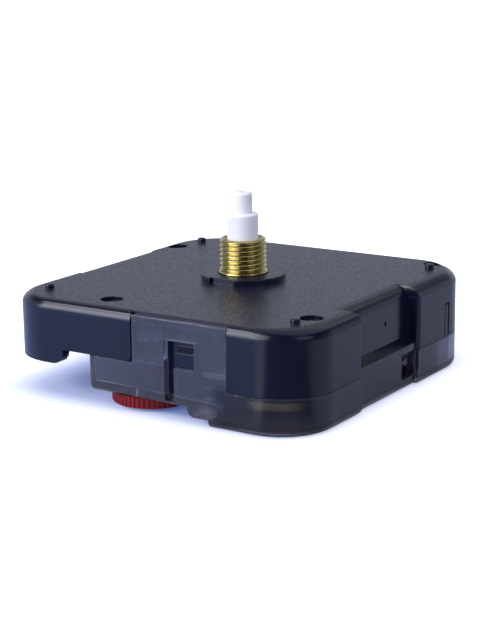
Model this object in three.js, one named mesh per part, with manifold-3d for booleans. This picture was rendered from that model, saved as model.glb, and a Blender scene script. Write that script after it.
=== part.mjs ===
// Quartz clock movement: a square battery movement that drives the hands of a wall clock.
// Millimetres, +Z up. The origin is on the axis of the hand shafts, in the plane that the back rests on,
// so the movement lies on its back with its shafts upwards.
// The battery bay runs along -X, the snap tab of the cover is on -Y and the finger recess on +X.
import * as THREE from 'three';
import { mergeVertices } from 'three/addons/utils/BufferGeometryUtils.js';
import Module from 'manifold-3d';

const wasm = await Module();
wasm.setup();

// Clearances
const seatGap = 0.1; // between pieces that are assembled and stay put
const runningGap = 0.08; // radial, round a turning tube
const pivotGap = 0.05; // radial, round a turning pivot
const secondsGap = 0.06; // radial, round the seconds arbor
const endShake = 0.15; // axial, at the end of a turning piece
const overrun = 1; // how far a cutting shape passes the face that it cuts
const rootLap = 0.2; // how far a rib, post or pin is sunk into the piece that it grows from

// Case, housing and cover together
const caseCorner = 8.8;
const caseWall = 1.5;
const plateThickness = 1.4;
const seamHeight = 5.9;
const seamGap = 0.12;
const topRound = { alongX: 2.8, alongY: 1.15, height: 1.9 };

// Steps in the side walls, as distances along Y from the shaft axis
const fingerRecess = { near: -10.4, far: 8, depth: 2, panelBottom: 8, round: 0.8 };
const backRecess = { near: -9, far: 11.6, depth: 0.5, round: 0.3 };

// Battery bay for one AA cell, open at the back. Beside it the wheels need their room up to the shaft axis,
// and the other side of the case mirrors both, which gives the case its width.
const cell = { radius: 7.25, length: 49, bedGap: 0.1 };
const batteryBay = {
  sideGap: 0.5, cellPlay: 0.4, partition: 1.5,
  endWallBottom: 8.4, wallRound: 1, lobeLength: 12.5, lobeRound: 2,
};
const cradle = { thickness: 1, cellGap: 0.25, height: 1.6, spacing: 16, count: 3, arcSteps: 8 };
const trainRoom = 9.6;
const bayWidth = 2 * cell.radius + batteryBay.cellPlay;
const halfWidth = caseWall + batteryBay.sideGap + bayWidth + batteryBay.partition + trainRoom;
const bayLeft = -halfWidth + caseWall + batteryBay.sideGap;
const bayRight = bayLeft + bayWidth;
const partitionRight = bayRight + batteryBay.partition;

// Rear cover
const coverWall = 1.2;
const coverFloor = 1.2;
const coverBottomRound = 1.3;
const coverLap = 0.5; // how far the cover's wall along the bay stands back from the bay
const coverEdge = bayRight + coverLap;
const coverEdgeRound = 1;
const knobPocket = { besideKnob: 8.75, knobGap: 1.05, height: 2.8, round: 1.5, bevel: 0.8 };
const footPad = { width: 3.8, depth: 4, height: 1.3 };
const coverRib = { fromRight: 1.1, thickness: 0.6, length: 0.5, height: 4.3 };
const rightLug = {
  inset: 0.6, round: 0.4, outerTop: 7.1, ledgeThickness: 0.78,
  slotNear: 3.3, slotFar: 7.4, slotBottom: 1.9, slotTop: 6,
};

// Snap tab on the front wall, with its window, its slit and the hook of the housing that it takes
const snapTab = { left: -2, right: 14.9, clearance: 0.15, thickness: 1.2, lipThickness: 0.75, topGap: 0.5 };
const tabWindow = { left: 3.8, right: 9.3, bottom: 8.4, top: 12.6 };
const tabSlit = { width: 1.8, bottom: 3.1 };
const slitRight = tabWindow.left + tabSlit.width;
const hook = { thickness: 0.7, reach: 0.8, height: 1.8, sideGap: 0.2, lead: 0.5 };

// Dial face
const centreDisc = { radius: 6.85, height: 1, notchWidth: 4.5, notchDepth: 0.9 };
const dialPin = { radius: 0.75, height: 0.7, sideInset: 5.1, endInset: 6.4 };
const stakeHole = { radius: 1.8, depth: 0.7, stakeRadius: 0.95, stakeTop: 0.3 };
const stakeHolePlaceShares = [[0.839, -0.643], [0.793, 0.886], [-0.868, 0.568], [-0.339, -0.818]];
const gateMark = { radius: 0.35, depth: 0.4, alongY: 0.4, height: 11.6 };
const ventSlot = { near: 17.9, width: 1.2, top: 11.6, depth: 0.4 };

// Hand shafts, one inside the other. Each rises past the one outside it, and the bushing past the dial face.
const bushing = { radius: 4, rise: 6.7, chamfer: 0.5, flangeRadius: 5.6, flangeHeight: 0.8 };
const hourTube = { radius: 2.5, rise: 4.1, chamfer: 0.35, web: 0.8, bossRadius: 3.4, bossHeight: 0.2 };
const minuteShaft = { radius: 1.6, rise: 3.4, chamfer: 0.3, drop: 0.35, collarRadius: 2.2, pinionLength: 2 };
const secondsShaft = { radius: 0.5, belowMinuteTop: 0.8 };

// Gear bridge, the plate between the going train and the motion work
const bridge = { thickness: 0.9, wallGap: 1.8, sideGap: 0.2, nearSetback: 3.6, leadGap: 0.7 };

// Pillars of the housing stand on the bridge, posts of the cover stand under it.
const pillarRadius = 1.5;
const pillarPlaceShares = [[0.839, -0.643], [0.793, 0.886], [-0.232, 0.786], [-0.3, -0.45]];
const postRadius = 1.2;
const postPlaceShares = [[-0.271, -0.343], [-0.232, 0.786], [0.429, 0.732], [0.339, -0.482]];

// Heights of the wheels over one another. Each step goes from one wheel to the next.
const trainStack = { first: 0.95, step: 1.3, lastStep: 1.6, underBridge: 0.45 };
const motionStack = { first: 2.9, step: 1.55, web: 0.8 };

// Pivots, and the bosses that they turn in
const pivotRadius = 0.3;
const motionPivotRadius = 0.5;
const arborRadius = 0.45;
const motionArborRadius = 0.9;
const pivotSink = 0.5; // how far a pivot hole reaches into a floor
const boss = { radius: 1.2, height: 0.5 };

// Stepping motor
const magnet = { radius: 2.2, height: 2, boreGap: 0.1 };
const rotorCollarRadius = 0.9;
const stator = {
  thickness: 0.8, beforeRotor: 3.45, pastRotor: 3.35, nearReach: 12.3, farReach: 14.7,
  armWidth: 3.2, pastCoil: 2,
};
const rotorGap = 0.5; // radial, between the magnet and the stator
const statorNotchRadius = 0.45;
const coil = { statorGap: 0.4, coreWidth: 2, coreThickness: 1, cheekRadius: 2.9, cheekThickness: 0.8 };
const bobbinTubeRadius = 1.7;
const windingRadius = 2.6;
const bobbinGap = 0.5; // between the bobbin and the arms of the stator
const stakePinRadius = 0.5;

// Circuit board
const board = { belowBridge: 2, thickness: 1, length: 15.5, width: 15, wallGap: 2 };
const boardPostRadius = 1;
const boardPostPlaceShares = [[0.529, -0.543], [0.843, -0.543]];
const chip = { radius: 2.2, topRadius: 1.1, height: 0.9, sideInset: 8.5, endInset: 9.5 };
const chipShoulderShare = 0.6;
const crystal = { radius: 0.75, length: 5, sideInset: 6.5, endInset: 7.2 };

// Battery contacts, bent from strip
const strip = { thickness: 0.3, width: 0.9, wallGap: 2, footLength: 2.3, belowSeam: 1.1 };
const positiveContactLow = seamHeight - strip.belowSeam;
const positivePlate = { wallSideGap: 4.5, trainSideGap: 1.2, top: 11, nubRadius: 2.2, nubReach: 1 };
const negativeLead = { wallGap: 2.3, low: 8, beforeBoard: 3.6, footLength: 1.7 };
const negativePlate = {
  wallSideGap: 6, lobeBottom: 6.3, wallBottom: 8.6, top: 12,
  tailWidth: 1.1, tailSideGap: 0.7, tailBottom: 5.7,
  leafWidth: 2.8, leafReach: 1.9, leafEndReach: 0.9, leafEndDrop: 1.6,
};

// Setting knob and the gear on its stem
const setting = {
  knobRadius: 6.45, knobBottom: 0.6, knobThickness: 1.8, ribs: 32, dishRadius: 5.1, dishDepth: 0.7,
  hubRadius: 2.2, stemRadius: 1.2, spigotRadius: 0.6, spigotLength: 0.9, gearGap: 0.84,
};
const knurlShares = [[0.36, -0.45], [0.18, 0.38]];
const settingTeeth = 24;

// Gears. A tooth is given from root to tip by its half width as a share of the tooth pitch and its
// distance from the pitch circle as a share of the module.
const wheelToothShares = [[0.33, -1.15], [0.1, 0.9]];
const pinionToothShares = [[0.29, -1.15], [0.1, 0.9]];
const wheelWeb = 0.6;
const pinionLap = 0.3; // how far a pinion's teeth stand past the wheel that they drive
const rotorMesh = { pinion: 8, wheel: 48, module: 0.2 };
const secondsMesh = { pinion: 12, wheel: 60, module: 0.25 };
const centreMesh = { pinion: 8, wheel: 64, module: 0.25 };
const motionMesh = { pinion: 12, wheel: 36, module: 0.4 };
const wheelHoles = { count: 3, placeShare: 0.62, radiusShare: 0.15 };
const centreHub = { radius: 2.6, drop: 0.3 };
const clutchWasher = { radius: 2.4, thickness: 0.2 };

// These two pairs run between the same centres as the pairs before them, which sets their module.
const thirdMesh = onCentresOf(centreMesh, { pinion: 8, wheel: 60 });
const hourMesh = onCentresOf(motionMesh, { pinion: 10, wheel: 40 });

// Round pieces are drawn with this many flats
const flats = { tiny: 8, small: 10, middle: 20, large: 36 };
const weld = 1e-4; // points nearer than this are one point

function onCentresOf(pair, teeth) {
  return { ...teeth, module: (pair.module * (pair.pinion + pair.wheel)) / (teeth.pinion + teeth.wheel) };
}

function toSolid(geometry) {
  const bare = new THREE.BufferGeometry();
  bare.setAttribute('position', geometry.getAttribute('position'));
  if (geometry.index) bare.setIndex(geometry.index);
  const merged = mergeVertices(bare, weld);
  const corners = [];
  const index = merged.index.array;
  for (let i = 0; i < index.length; i += 3) {
    const [a, b, c] = [index[i], index[i + 1], index[i + 2]];
    if (a !== b && b !== c && c !== a) corners.push(a, b, c);
  }
  return new wasm.Manifold(new wasm.Mesh({
    numProp: 3,
    vertProperties: merged.attributes.position.array,
    triVerts: new Uint32Array(corners),
  }));
}

function toGeometry(solid) {
  const mesh = solid.getMesh();
  const geometry = new THREE.BufferGeometry();
  geometry.setAttribute('position', new THREE.BufferAttribute(new Float32Array(mesh.vertProperties), 3));
  geometry.setIndex(new THREE.BufferAttribute(new Uint32Array(mesh.triVerts), 1));
  const flat = geometry.toNonIndexed();
  flat.computeVertexNormals();
  return flat;
}

function join(first, ...others) {
  return others.reduce((sum, solid) => sum.add(solid), first);
}

function cut(from, ...tools) {
  return tools.reduce((rest, tool) => rest.subtract(tool), from);
}

function block(x0, x1, y0, y1, z0, z1) {
  const geometry = new THREE.BoxGeometry(x1 - x0, y1 - y0, z1 - z0);
  geometry.translate((x0 + x1) / 2, (y0 + y1) / 2, (z0 + z1) / 2);
  return toSolid(geometry);
}

function drum(radius, z0, z1, at = [0, 0], sides = flats.middle) {
  const geometry = new THREE.CylinderGeometry(radius, radius, z1 - z0, sides);
  geometry.rotateX(Math.PI / 2);
  geometry.translate(at[0], at[1], (z0 + z1) / 2);
  return toSolid(geometry);
}

// A turned solid from [radius, height] pairs that start and end on the axis, from the bottom up.
function turned(profile, at = [0, 0], sides = flats.middle) {
  const geometry = new THREE.LatheGeometry(profile.map(([r, z]) => new THREE.Vector2(r, z)), sides);
  geometry.rotateX(Math.PI / 2);
  geometry.translate(at[0], at[1], 0);
  return toSolid(geometry);
}

function prism(outline, z0, z1) {
  const shape = outline.isShape ? outline : new THREE.Shape(outline);
  const geometry = new THREE.ExtrudeGeometry(shape, { depth: z1 - z0, bevelEnabled: false });
  geometry.translate(0, 0, z0);
  return toSolid(geometry);
}

// An outline from [x, y, radius] corners. Corners as wide as the case's own get the full steps of arc,
// and small ones fewer.
function rounded(corners, fullSteps = 6) {
  const points = [];
  corners.forEach(([x, y, radius], i) => {
    const steps = radius > caseCorner / 3 ? fullSteps : Math.ceil(fullSteps / 3);
    const here = new THREE.Vector2(x, y);
    if (!radius) {
      points.push(here);
      return;
    }
    const before = new THREE.Vector2(...corners.at(i - 1)).sub(here).normalize();
    const after = new THREE.Vector2(...corners[(i + 1) % corners.length]).sub(here).normalize();
    const halfAngle = Math.acos(before.dot(after)) / 2;
    const middle = before.clone().add(after).normalize();
    const centre = here.clone().addScaledVector(middle, radius / Math.sin(halfAngle));
    const start = here.clone().addScaledVector(before, radius / Math.tan(halfAngle)).sub(centre);
    const end = here.clone().addScaledVector(after, radius / Math.tan(halfAngle)).sub(centre);
    const sweep = Math.atan2(start.cross(end), start.dot(end));
    for (let k = 0; k <= steps; k++) {
      points.push(start.clone().rotateAround(new THREE.Vector2(), (sweep * k) / steps).add(centre));
    }
  });
  return points;
}

// A solid through rings of equally many points, each { points, z }, from the bottom up.
function loft(rings) {
  const count = rings[0].points.length;
  const positions = rings.flatMap(({ points, z }) => points.flatMap((p) => [p.x, p.y, z]));
  const index = [];
  for (let ring = 0; ring + 1 < rings.length; ring++) {
    for (let i = 0; i < count; i++) {
      const a = ring * count + i;
      const b = ring * count + ((i + 1) % count);
      index.push(a, b, b + count, a, b + count, a + count);
    }
  }
  const last = (rings.length - 1) * count;
  for (const [a, b, c] of THREE.ShapeUtils.triangulateShape(rings[0].points, [])) index.push(c, b, a);
  for (const [a, b, c] of THREE.ShapeUtils.triangulateShape(rings.at(-1).points, [])) {
    index.push(last + a, last + b, last + c);
  }
  const geometry = new THREE.BufferGeometry();
  geometry.setAttribute('position', new THREE.Float32BufferAttribute(positions, 3));
  geometry.setIndex(index);
  return toSolid(geometry);
}

// The case seen from above, drawn in from its outside by an inset.
function casePlan(insetX, insetY = insetX, { recessed = true, cornerSteps = 6 } = {}) {
  const x = halfWidth - insetX;
  const y = halfLength - insetY;
  const inset = (insetX + insetY) / 2;
  const corner = caseCorner - Math.min(inset, caseCorner / 2);
  const outerRound = ({ round }) => Math.max(round - inset, round / 4);
  const right = [
    [x, fingerRecess.near - insetY, outerRound(fingerRecess)],
    [x - fingerRecess.depth, fingerRecess.near - insetY, 0],
    [x - fingerRecess.depth, fingerRecess.far + insetY, 0],
    [x, fingerRecess.far + insetY, outerRound(fingerRecess)],
  ];
  const left = [
    [-x, backRecess.far + insetY, outerRound(backRecess)],
    [-x + backRecess.depth, backRecess.far + insetY, 0],
    [-x + backRecess.depth, backRecess.near - insetY, 0],
    [-x, backRecess.near - insetY, outerRound(backRecess)],
  ];
  const corners = [
    [x, -y, corner],
    ...(recessed ? right : []),
    [x, y, corner],
    [-x, y, corner],
    ...(recessed ? left : []),
    [-x, -y, corner],
  ];
  return rounded(corners, cornerSteps);
}

function toothedOutline(teeth, module, shares, phase) {
  const pitch = (2 * Math.PI) / teeth;
  const radius = (teeth * module) / 2;
  const rising = shares.map(([width, height]) => [-width, height]);
  const falling = [...shares].reverse();
  const points = [];
  for (let tooth = 0; tooth < teeth; tooth++) {
    for (const [width, height] of [...rising, ...falling]) {
      const angle = phase + (tooth + width) * pitch;
      const reach = radius + height * module;
      points.push(new THREE.Vector2(reach * Math.cos(angle), reach * Math.sin(angle)));
    }
  }
  return points;
}

function toothed({ teeth, module, shares, phase, at, from, to }) {
  const outline = toothedOutline(teeth, module, shares, phase);
  return prism(outline.map((p) => new THREE.Vector2(p.x + at[0], p.y + at[1])), from, to);
}

// The angle that puts the teeth of a gear into the gaps of the gear that it meshes with.
function meshPhase(teeth, phase, otherTeeth, direction) {
  const place = (teeth * (direction - phase)) / (2 * Math.PI);
  return direction + Math.PI - ((2 * Math.PI) / otherTeeth) * (1 / 2 - place);
}

function spacing({ pinion, wheel, module }) {
  return (module * (pinion + wheel)) / 2;
}

function polar(from, distance, angle) {
  return [from[0] + distance * Math.cos(angle), from[1] + distance * Math.sin(angle)];
}

// Where each arbor stands
const shaftAt = [0, 0];
const intermediateAngle = 0;
const rotorAngle = Math.PI / 6;
const thirdAngle = Math.PI / 2;
const minuteWheelAngle = THREE.MathUtils.degToRad(-82.576);
const settingAngle = THREE.MathUtils.degToRad(-113.789);
const intermediateAt = polar(shaftAt, spacing(secondsMesh), intermediateAngle);
const rotorAt = polar(intermediateAt, spacing(rotorMesh), rotorAngle);
const thirdAt = polar(shaftAt, spacing(centreMesh), thirdAngle);

// The minute wheel meshes with the pinion on the minute shaft and with the gear on the setting stem.
// The last gear of this chain needs its room before the front wall, which gives the case its length.
const settingSpacing = (motionMesh.module * (settingTeeth + motionMesh.wheel)) / 2;
const settingGearRadius = motionMesh.module * (settingTeeth / 2 + wheelToothShares.at(-1)[1]);
const minuteWheelAt = polar(shaftAt, spacing(motionMesh), minuteWheelAngle);
const knobAt = polar(minuteWheelAt, settingSpacing, settingAngle);
const halfLength = caseWall + setting.gearGap + settingGearRadius - knobAt[1];

// Heights of the going train, from the cover floor up to the bridge
const floorTop = coverFloor;
const bossTop = floorTop + boss.height;
const intermediateLevel = floorTop + trainStack.first;
const secondsLevel = intermediateLevel + trainStack.step;
const thirdLevel = secondsLevel + trainStack.step;
const centreLevel = thirdLevel + trainStack.lastStep;
const bridgeUnderside = centreLevel + wheelWeb + trainStack.underBridge;
const bridgeTop = bridgeUnderside + bridge.thickness;

// Heights of the motion work, from the bridge up to the flange of the bushing and the dial plate
const minuteLevel = bridgeTop + motionStack.first;
const hourLevel = minuteLevel + motionStack.step;
const cannonTop = hourLevel - endShake;
const flangeUnderside = hourLevel + hourTube.web + hourTube.bossHeight + endShake;
const plateUnderside = flangeUnderside + bushing.flangeHeight + seatGap;
const caseHeight = plateUnderside + plateThickness;
const bushingTop = caseHeight + bushing.rise;
const hourTubeTop = bushingTop + hourTube.rise;
const minuteShaftTop = hourTubeTop + minuteShaft.rise;
const motionShoulder = hourLevel + hourTube.web + pinionLap;

// Teeth, each set turned so that it meshes at rest
const rotorPhase = 0;
const rotorTrainPhase = meshPhase(rotorMesh.pinion, rotorPhase, rotorMesh.wheel, rotorAngle + Math.PI);
const secondsPhase = meshPhase(secondsMesh.pinion, 0, secondsMesh.wheel, intermediateAngle + Math.PI);
const thirdWheelPhase = meshPhase(thirdMesh.pinion, 0, thirdMesh.wheel, thirdAngle);
const centrePhase = meshPhase(centreMesh.pinion, 0, centreMesh.wheel, thirdAngle + Math.PI);
const minuteWheelPhase = meshPhase(motionMesh.pinion, 0, motionMesh.wheel, minuteWheelAngle);
const hourPhase = meshPhase(hourMesh.pinion, 0, hourMesh.wheel, minuteWheelAngle + Math.PI);
const settingPhase = meshPhase(motionMesh.wheel, minuteWheelPhase, settingTeeth, settingAngle);

// A solid from an outline in X and Z that runs along Y.
function prismAlongY(outline, y0, y1) {
  const shape = new THREE.Shape(outline);
  const geometry = new THREE.ExtrudeGeometry(shape, { depth: y1 - y0, bevelEnabled: false });
  geometry.rotateX(Math.PI / 2);
  geometry.translate(0, y1, 0);
  return toSolid(geometry);
}

// A solid from an outline in Y and Z that runs along X.
function prismAlongX(outline, x0, x1) {
  const shape = new THREE.Shape(outline);
  const geometry = new THREE.ExtrudeGeometry(shape, { depth: x1 - x0, bevelEnabled: false });
  geometry.rotateX(Math.PI / 2);
  geometry.rotateZ(Math.PI / 2);
  geometry.translate(x0, 0, 0);
  return toSolid(geometry);
}

function sharp(points) {
  return points.map(([x, y]) => new THREE.Vector2(x, y));
}

// Rings that draw a plan in along a quarter round, which reaches the insets at the end face.
function roundedEnd(plan, insetX, insetY, height, faceZ, direction, steps = 3) {
  const rings = [];
  for (let k = 0; k <= steps; k++) {
    const angle = (Math.PI / 2) * (k / steps);
    const share = 1 - Math.cos(angle);
    rings.push({
      points: plan(insetX * share, insetY * share),
      z: faceZ - direction * height * (1 - Math.sin(angle)),
    });
  }
  return direction > 0 ? rings : rings.reverse();
}

const shellBottom = seamHeight + seamGap;
const lobeRight = -halfWidth + batteryBay.lobeLength;
const tabOpening = { left: snapTab.left - snapTab.clearance, right: snapTab.right + snapTab.clearance };
const pillarPlaces = pillarPlaceShares.map(([x, y]) => [x * halfWidth, y * halfLength]);
const stakePlaces = stakeHolePlaceShares.map(([x, y]) => [x * halfWidth, y * halfLength]);
const bayMiddle = (bayLeft + bayRight) / 2;
const cellAxis = plateUnderside - cell.radius;
const pocketFar = knobAt[1] + setting.knobRadius + knobPocket.knobGap;
const pocketRight = knobAt[0] + setting.knobRadius + knobPocket.besideKnob;
const leadNear = -halfLength + negativeLead.wallGap;
const boardTop = bridgeUnderside - board.belowBridge;
const boardUnderside = boardTop - board.thickness;
const boardLeft = halfWidth - board.length;
const boardFar = -halfLength + board.width;
const leadRight = boardLeft - negativeLead.beforeBoard;

// The front wall is open under the battery bay and behind the snap tab.
function frontWallOpening() {
  const below = shellBottom - overrun;
  const outline = rounded([
    [-halfWidth - overrun, below, 0],
    [tabOpening.right, below, 0],
    [tabOpening.right, plateUnderside, 0],
    [tabOpening.left, plateUnderside, 0],
    [tabOpening.left, batteryBay.endWallBottom, batteryBay.wallRound],
    [lobeRight, batteryBay.endWallBottom, 0],
    [lobeRight, shellBottom, batteryBay.lobeRound],
    [-halfWidth - overrun, shellBottom, 0],
  ]);
  return prismAlongY(outline, -halfLength - overrun, -halfLength + caseWall + seatGap);
}

function backWallOpening() {
  const below = shellBottom - overrun;
  const right = coverEdge + coverWall + seamGap;
  const outline = rounded([
    [-halfWidth - overrun, below, 0],
    [right, below, 0],
    [right, batteryBay.endWallBottom, 0],
    [lobeRight, batteryBay.endWallBottom, 0],
    [lobeRight, shellBottom, batteryBay.lobeRound],
    [-halfWidth - overrun, shellBottom, 0],
  ]);
  return prismAlongY(outline, halfLength - caseWall - seatGap, halfLength + overrun);
}

// The hook stands behind the window of the snap tab and looks out through it.
function snapHook() {
  const left = slitRight + hook.sideGap;
  const right = tabWindow.right - hook.sideGap;
  const face = -halfLength + snapTab.thickness + snapTab.clearance;
  const bottom = tabWindow.bottom + hook.sideGap;
  const arm = block(left, right, face, face + hook.thickness, bottom, plateUnderside + rootLap);
  const nose = prismAlongX(sharp([
    [face + rootLap, bottom],
    [face - hook.reach + hook.lead, bottom],
    [face - hook.reach, bottom + hook.lead],
    [face - hook.reach, bottom + hook.height],
    [face + rootLap, bottom + hook.height],
  ]), left, right);
  return join(arm, nose);
}

// Ribs under the dial plate that hold the battery from above.
function batteryCradle(index) {
  const y = (index - (cradle.count - 1) / 2) * cradle.spacing;
  const [y0, y1] = [y - cradle.thickness / 2, y + cradle.thickness / 2];
  const rib = block(-halfWidth + caseWall - rootLap, bayRight + rootLap, y0, y1,
    plateUnderside - cradle.height, plateUnderside + rootLap);
  const cradleRadius = cell.radius + cradle.cellGap;
  const roof = [];
  for (let k = 0; k <= cradle.arcSteps; k++) {
    const angle = Math.PI * (k / cradle.arcSteps);
    const middle = plateUnderside - cradleRadius;
    roof.push([bayMiddle + cradleRadius * Math.cos(angle), middle + cradleRadius * Math.sin(angle)]);
  }
  return rib.subtract(prismAlongY(sharp(roof), y0 - overrun, y1 + overrun));
}

function frontHousing() {
  const cover = roundedEnd(casePlan, topRound.alongX, topRound.alongY, topRound.height, caseHeight, 1);
  const shell = loft([{ points: casePlan(0), z: shellBottom }, ...cover]);
  const cavity = prism(casePlan(caseWall), shellBottom - overrun, plateUnderside);
  const partitionEnd = halfLength - caseWall + rootLap;
  const partition = block(bayRight, partitionRight, -partitionEnd, partitionEnd,
    batteryBay.endWallBottom, plateUnderside + rootLap);
  const panelFoot = block(halfWidth - fingerRecess.depth - caseWall - overrun, halfWidth + overrun,
    fingerRecess.near, fingerRecess.far, shellBottom - overrun, fingerRecess.panelBottom);
  const tabSeat = block(tabOpening.left, tabOpening.right, -halfLength - overrun,
    -halfLength + snapTab.lipThickness + snapTab.clearance, shellBottom - overrun, caseHeight + overrun);
  const cellEnd = cell.length / 2;
  const cellBed = drumAlongY(cell.radius + cell.bedGap, -cellEnd, cellEnd, bayMiddle, cellAxis, flats.large);
  let housing = cut(shell, cavity, cellBed, tabSeat, frontWallOpening(), backWallOpening(), panelFoot);
  housing = join(housing, partition, snapHook());
  for (let i = 0; i < cradle.count; i++) housing = housing.add(batteryCradle(i));
  for (const at of pillarPlaces) {
    housing = housing.add(drum(pillarRadius, bridgeTop + seatGap, plateUnderside + rootLap, at, flats.small));
  }

  // Upper pivots of the minute wheel and of the setting stem
  for (const at of [minuteWheelAt, knobAt]) {
    const seat = drum(boss.radius, motionShoulder + endShake, plateUnderside + rootLap, at, flats.small);
    const boreRadius = motionPivotRadius + pivotGap;
    const bore = drum(boreRadius, motionShoulder, plateUnderside + pivotSink, at, flats.small);
    housing = housing.add(seat).subtract(bore);
  }

  // Dial face
  const discTop = caseHeight + centreDisc.height;
  const disc = drum(centreDisc.radius, caseHeight - rootLap, discTop, shaftAt, flats.large);
  const notch = block(-centreDisc.notchWidth / 2, centreDisc.notchWidth / 2, -centreDisc.radius - overrun,
    -centreDisc.radius + centreDisc.notchDepth, caseHeight, discTop + overrun);
  housing = housing.add(disc.subtract(notch));
  for (const [sideX, sideY] of [[1, -1], [1, 1], [-1, 1], [-1, -1]]) {
    const at = [sideX * (halfWidth - dialPin.sideInset), sideY * (halfLength - dialPin.endInset)];
    const pin = drum(dialPin.radius, caseHeight - rootLap, caseHeight + dialPin.height, at, flats.small);
    housing = housing.add(pin);
  }
  for (const at of stakePlaces) {
    const floor = caseHeight - stakeHole.depth;
    const hole = drum(stakeHole.radius, floor, caseHeight + overrun, at);
    const stakeTop = caseHeight - stakeHole.stakeTop;
    const stake = drum(stakeHole.stakeRadius, floor - rootLap, stakeTop, at, flats.small);
    housing = housing.subtract(hole).add(stake);
  }
  housing = housing.subtract(drum(bushing.radius + seatGap, plateUnderside - overrun, discTop + overrun));

  // Marks on the right wall
  const panelFace = halfWidth - fingerRecess.depth;
  const gate = prismAlongX(
    rounded(squareAround(gateMark.alongY, gateMark.height, gateMark.radius), 2),
    panelFace - gateMark.depth, panelFace + overrun,
  );
  const slot = block(halfWidth - ventSlot.depth, halfWidth + overrun,
    ventSlot.near, ventSlot.near + ventSlot.width, shellBottom - overrun, ventSlot.top);
  return cut(housing, gate, slot);
}

// The corners of a square hole with well rounded corners
function squareAround(y, z, radius) {
  const sides = [[-1, -1], [1, -1], [1, 1], [-1, 1]];
  return sides.map(([sideY, sideZ]) => [y + sideY * radius, z + sideZ * radius, radius]);
}

// The cover seen from above, drawn in from its outside
function coverPlan(insetX, insetY = insetX) {
  const x = halfWidth - insetX;
  const y = halfLength - insetY;
  const corner = caseCorner - Math.min(insetX, caseCorner / 2);
  const edge = Math.max(coverEdgeRound - insetX, coverEdgeRound / 4);
  const lugFace = x - rightLug.inset;
  return rounded([
    [x, -y, corner],
    [x, fingerRecess.near - insetY, Math.max(rightLug.round - insetX / 2, rightLug.round / 4)],
    [lugFace, fingerRecess.near - insetY, 0],
    [lugFace, fingerRecess.far + insetY, 0],
    [x, fingerRecess.far + insetY, Math.max(rightLug.round - insetX / 2, rightLug.round / 4)],
    [x, y, corner],
    [coverEdge + insetX, y, edge],
    [coverEdge + insetX, -y, edge],
  ]);
}

// The part of the cover's floor that is raised over the setting knob
function pocketPlan(grown) {
  return rounded([
    [coverEdge - overrun, -halfLength - overrun, 0],
    [pocketRight + grown, -halfLength - overrun, 0],
    [pocketRight + grown, pocketFar + grown, knobPocket.round + grown],
    [coverEdge - overrun, pocketFar + grown, 0],
  ]);
}

// Walls of the cover that stand past the seam: along the bay, under the front wall and in the finger recess
function raisedWalls() {
  const low = seamHeight - rootLap;
  const bayWallTop = batteryBay.endWallBottom - seamGap;
  const hollow = prism(coverPlan(coverWall), low - overrun, bayWallTop + overrun);
  const ring = prism(coverPlan(0), low, bayWallTop).subtract(hollow);
  const left = coverEdge - overrun;
  const near = -halfLength - overrun;
  const besideBay = block(left, coverEdge + coverWall, near, halfLength + overrun, low, bayWallTop);
  const inFront = block(left, snapTab.left + rootLap, near, -halfLength + coverWall, low, bayWallTop);
  const walls = ring.intersect(besideBay.add(inFront));
  const face = halfWidth - rightLug.inset;
  const ledgeTop = fingerRecess.panelBottom - seamGap;
  const lug = prismAlongY(sharp([
    [face - coverWall, low],
    [face, low],
    [face, rightLug.outerTop],
    [halfWidth - fingerRecess.depth, ledgeTop],
    [halfWidth - fingerRecess.depth - coverWall / 2, ledgeTop],
    [halfWidth - fingerRecess.depth - coverWall / 2, ledgeTop - rightLug.ledgeThickness],
    [face - coverWall, ledgeTop - rightLug.ledgeThickness],
  ]), fingerRecess.near + seamGap, fingerRecess.far - seamGap);
  return join(walls, lug);
}

function frontTab() {
  const low = seamHeight - rootLap;
  const wallTop = plateUnderside - snapTab.clearance;
  const lipTop = caseHeight - snapTab.topGap;
  const { left, right, thickness, lipThickness } = snapTab;
  const plate = block(left, right, -halfLength, -halfLength + thickness, low, wallTop);
  const lip = block(left, right, -halfLength, -halfLength + lipThickness, wallTop - rootLap, lipTop);
  const through = [-halfLength - overrun, -halfLength + thickness + overrun];
  const window = block(tabWindow.left, tabWindow.right, ...through, tabWindow.bottom, tabWindow.top);
  const slit = block(tabWindow.left, slitRight, ...through, low - overrun, tabWindow.top);
  return cut(join(plate, lip), window, slit);
}

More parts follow.
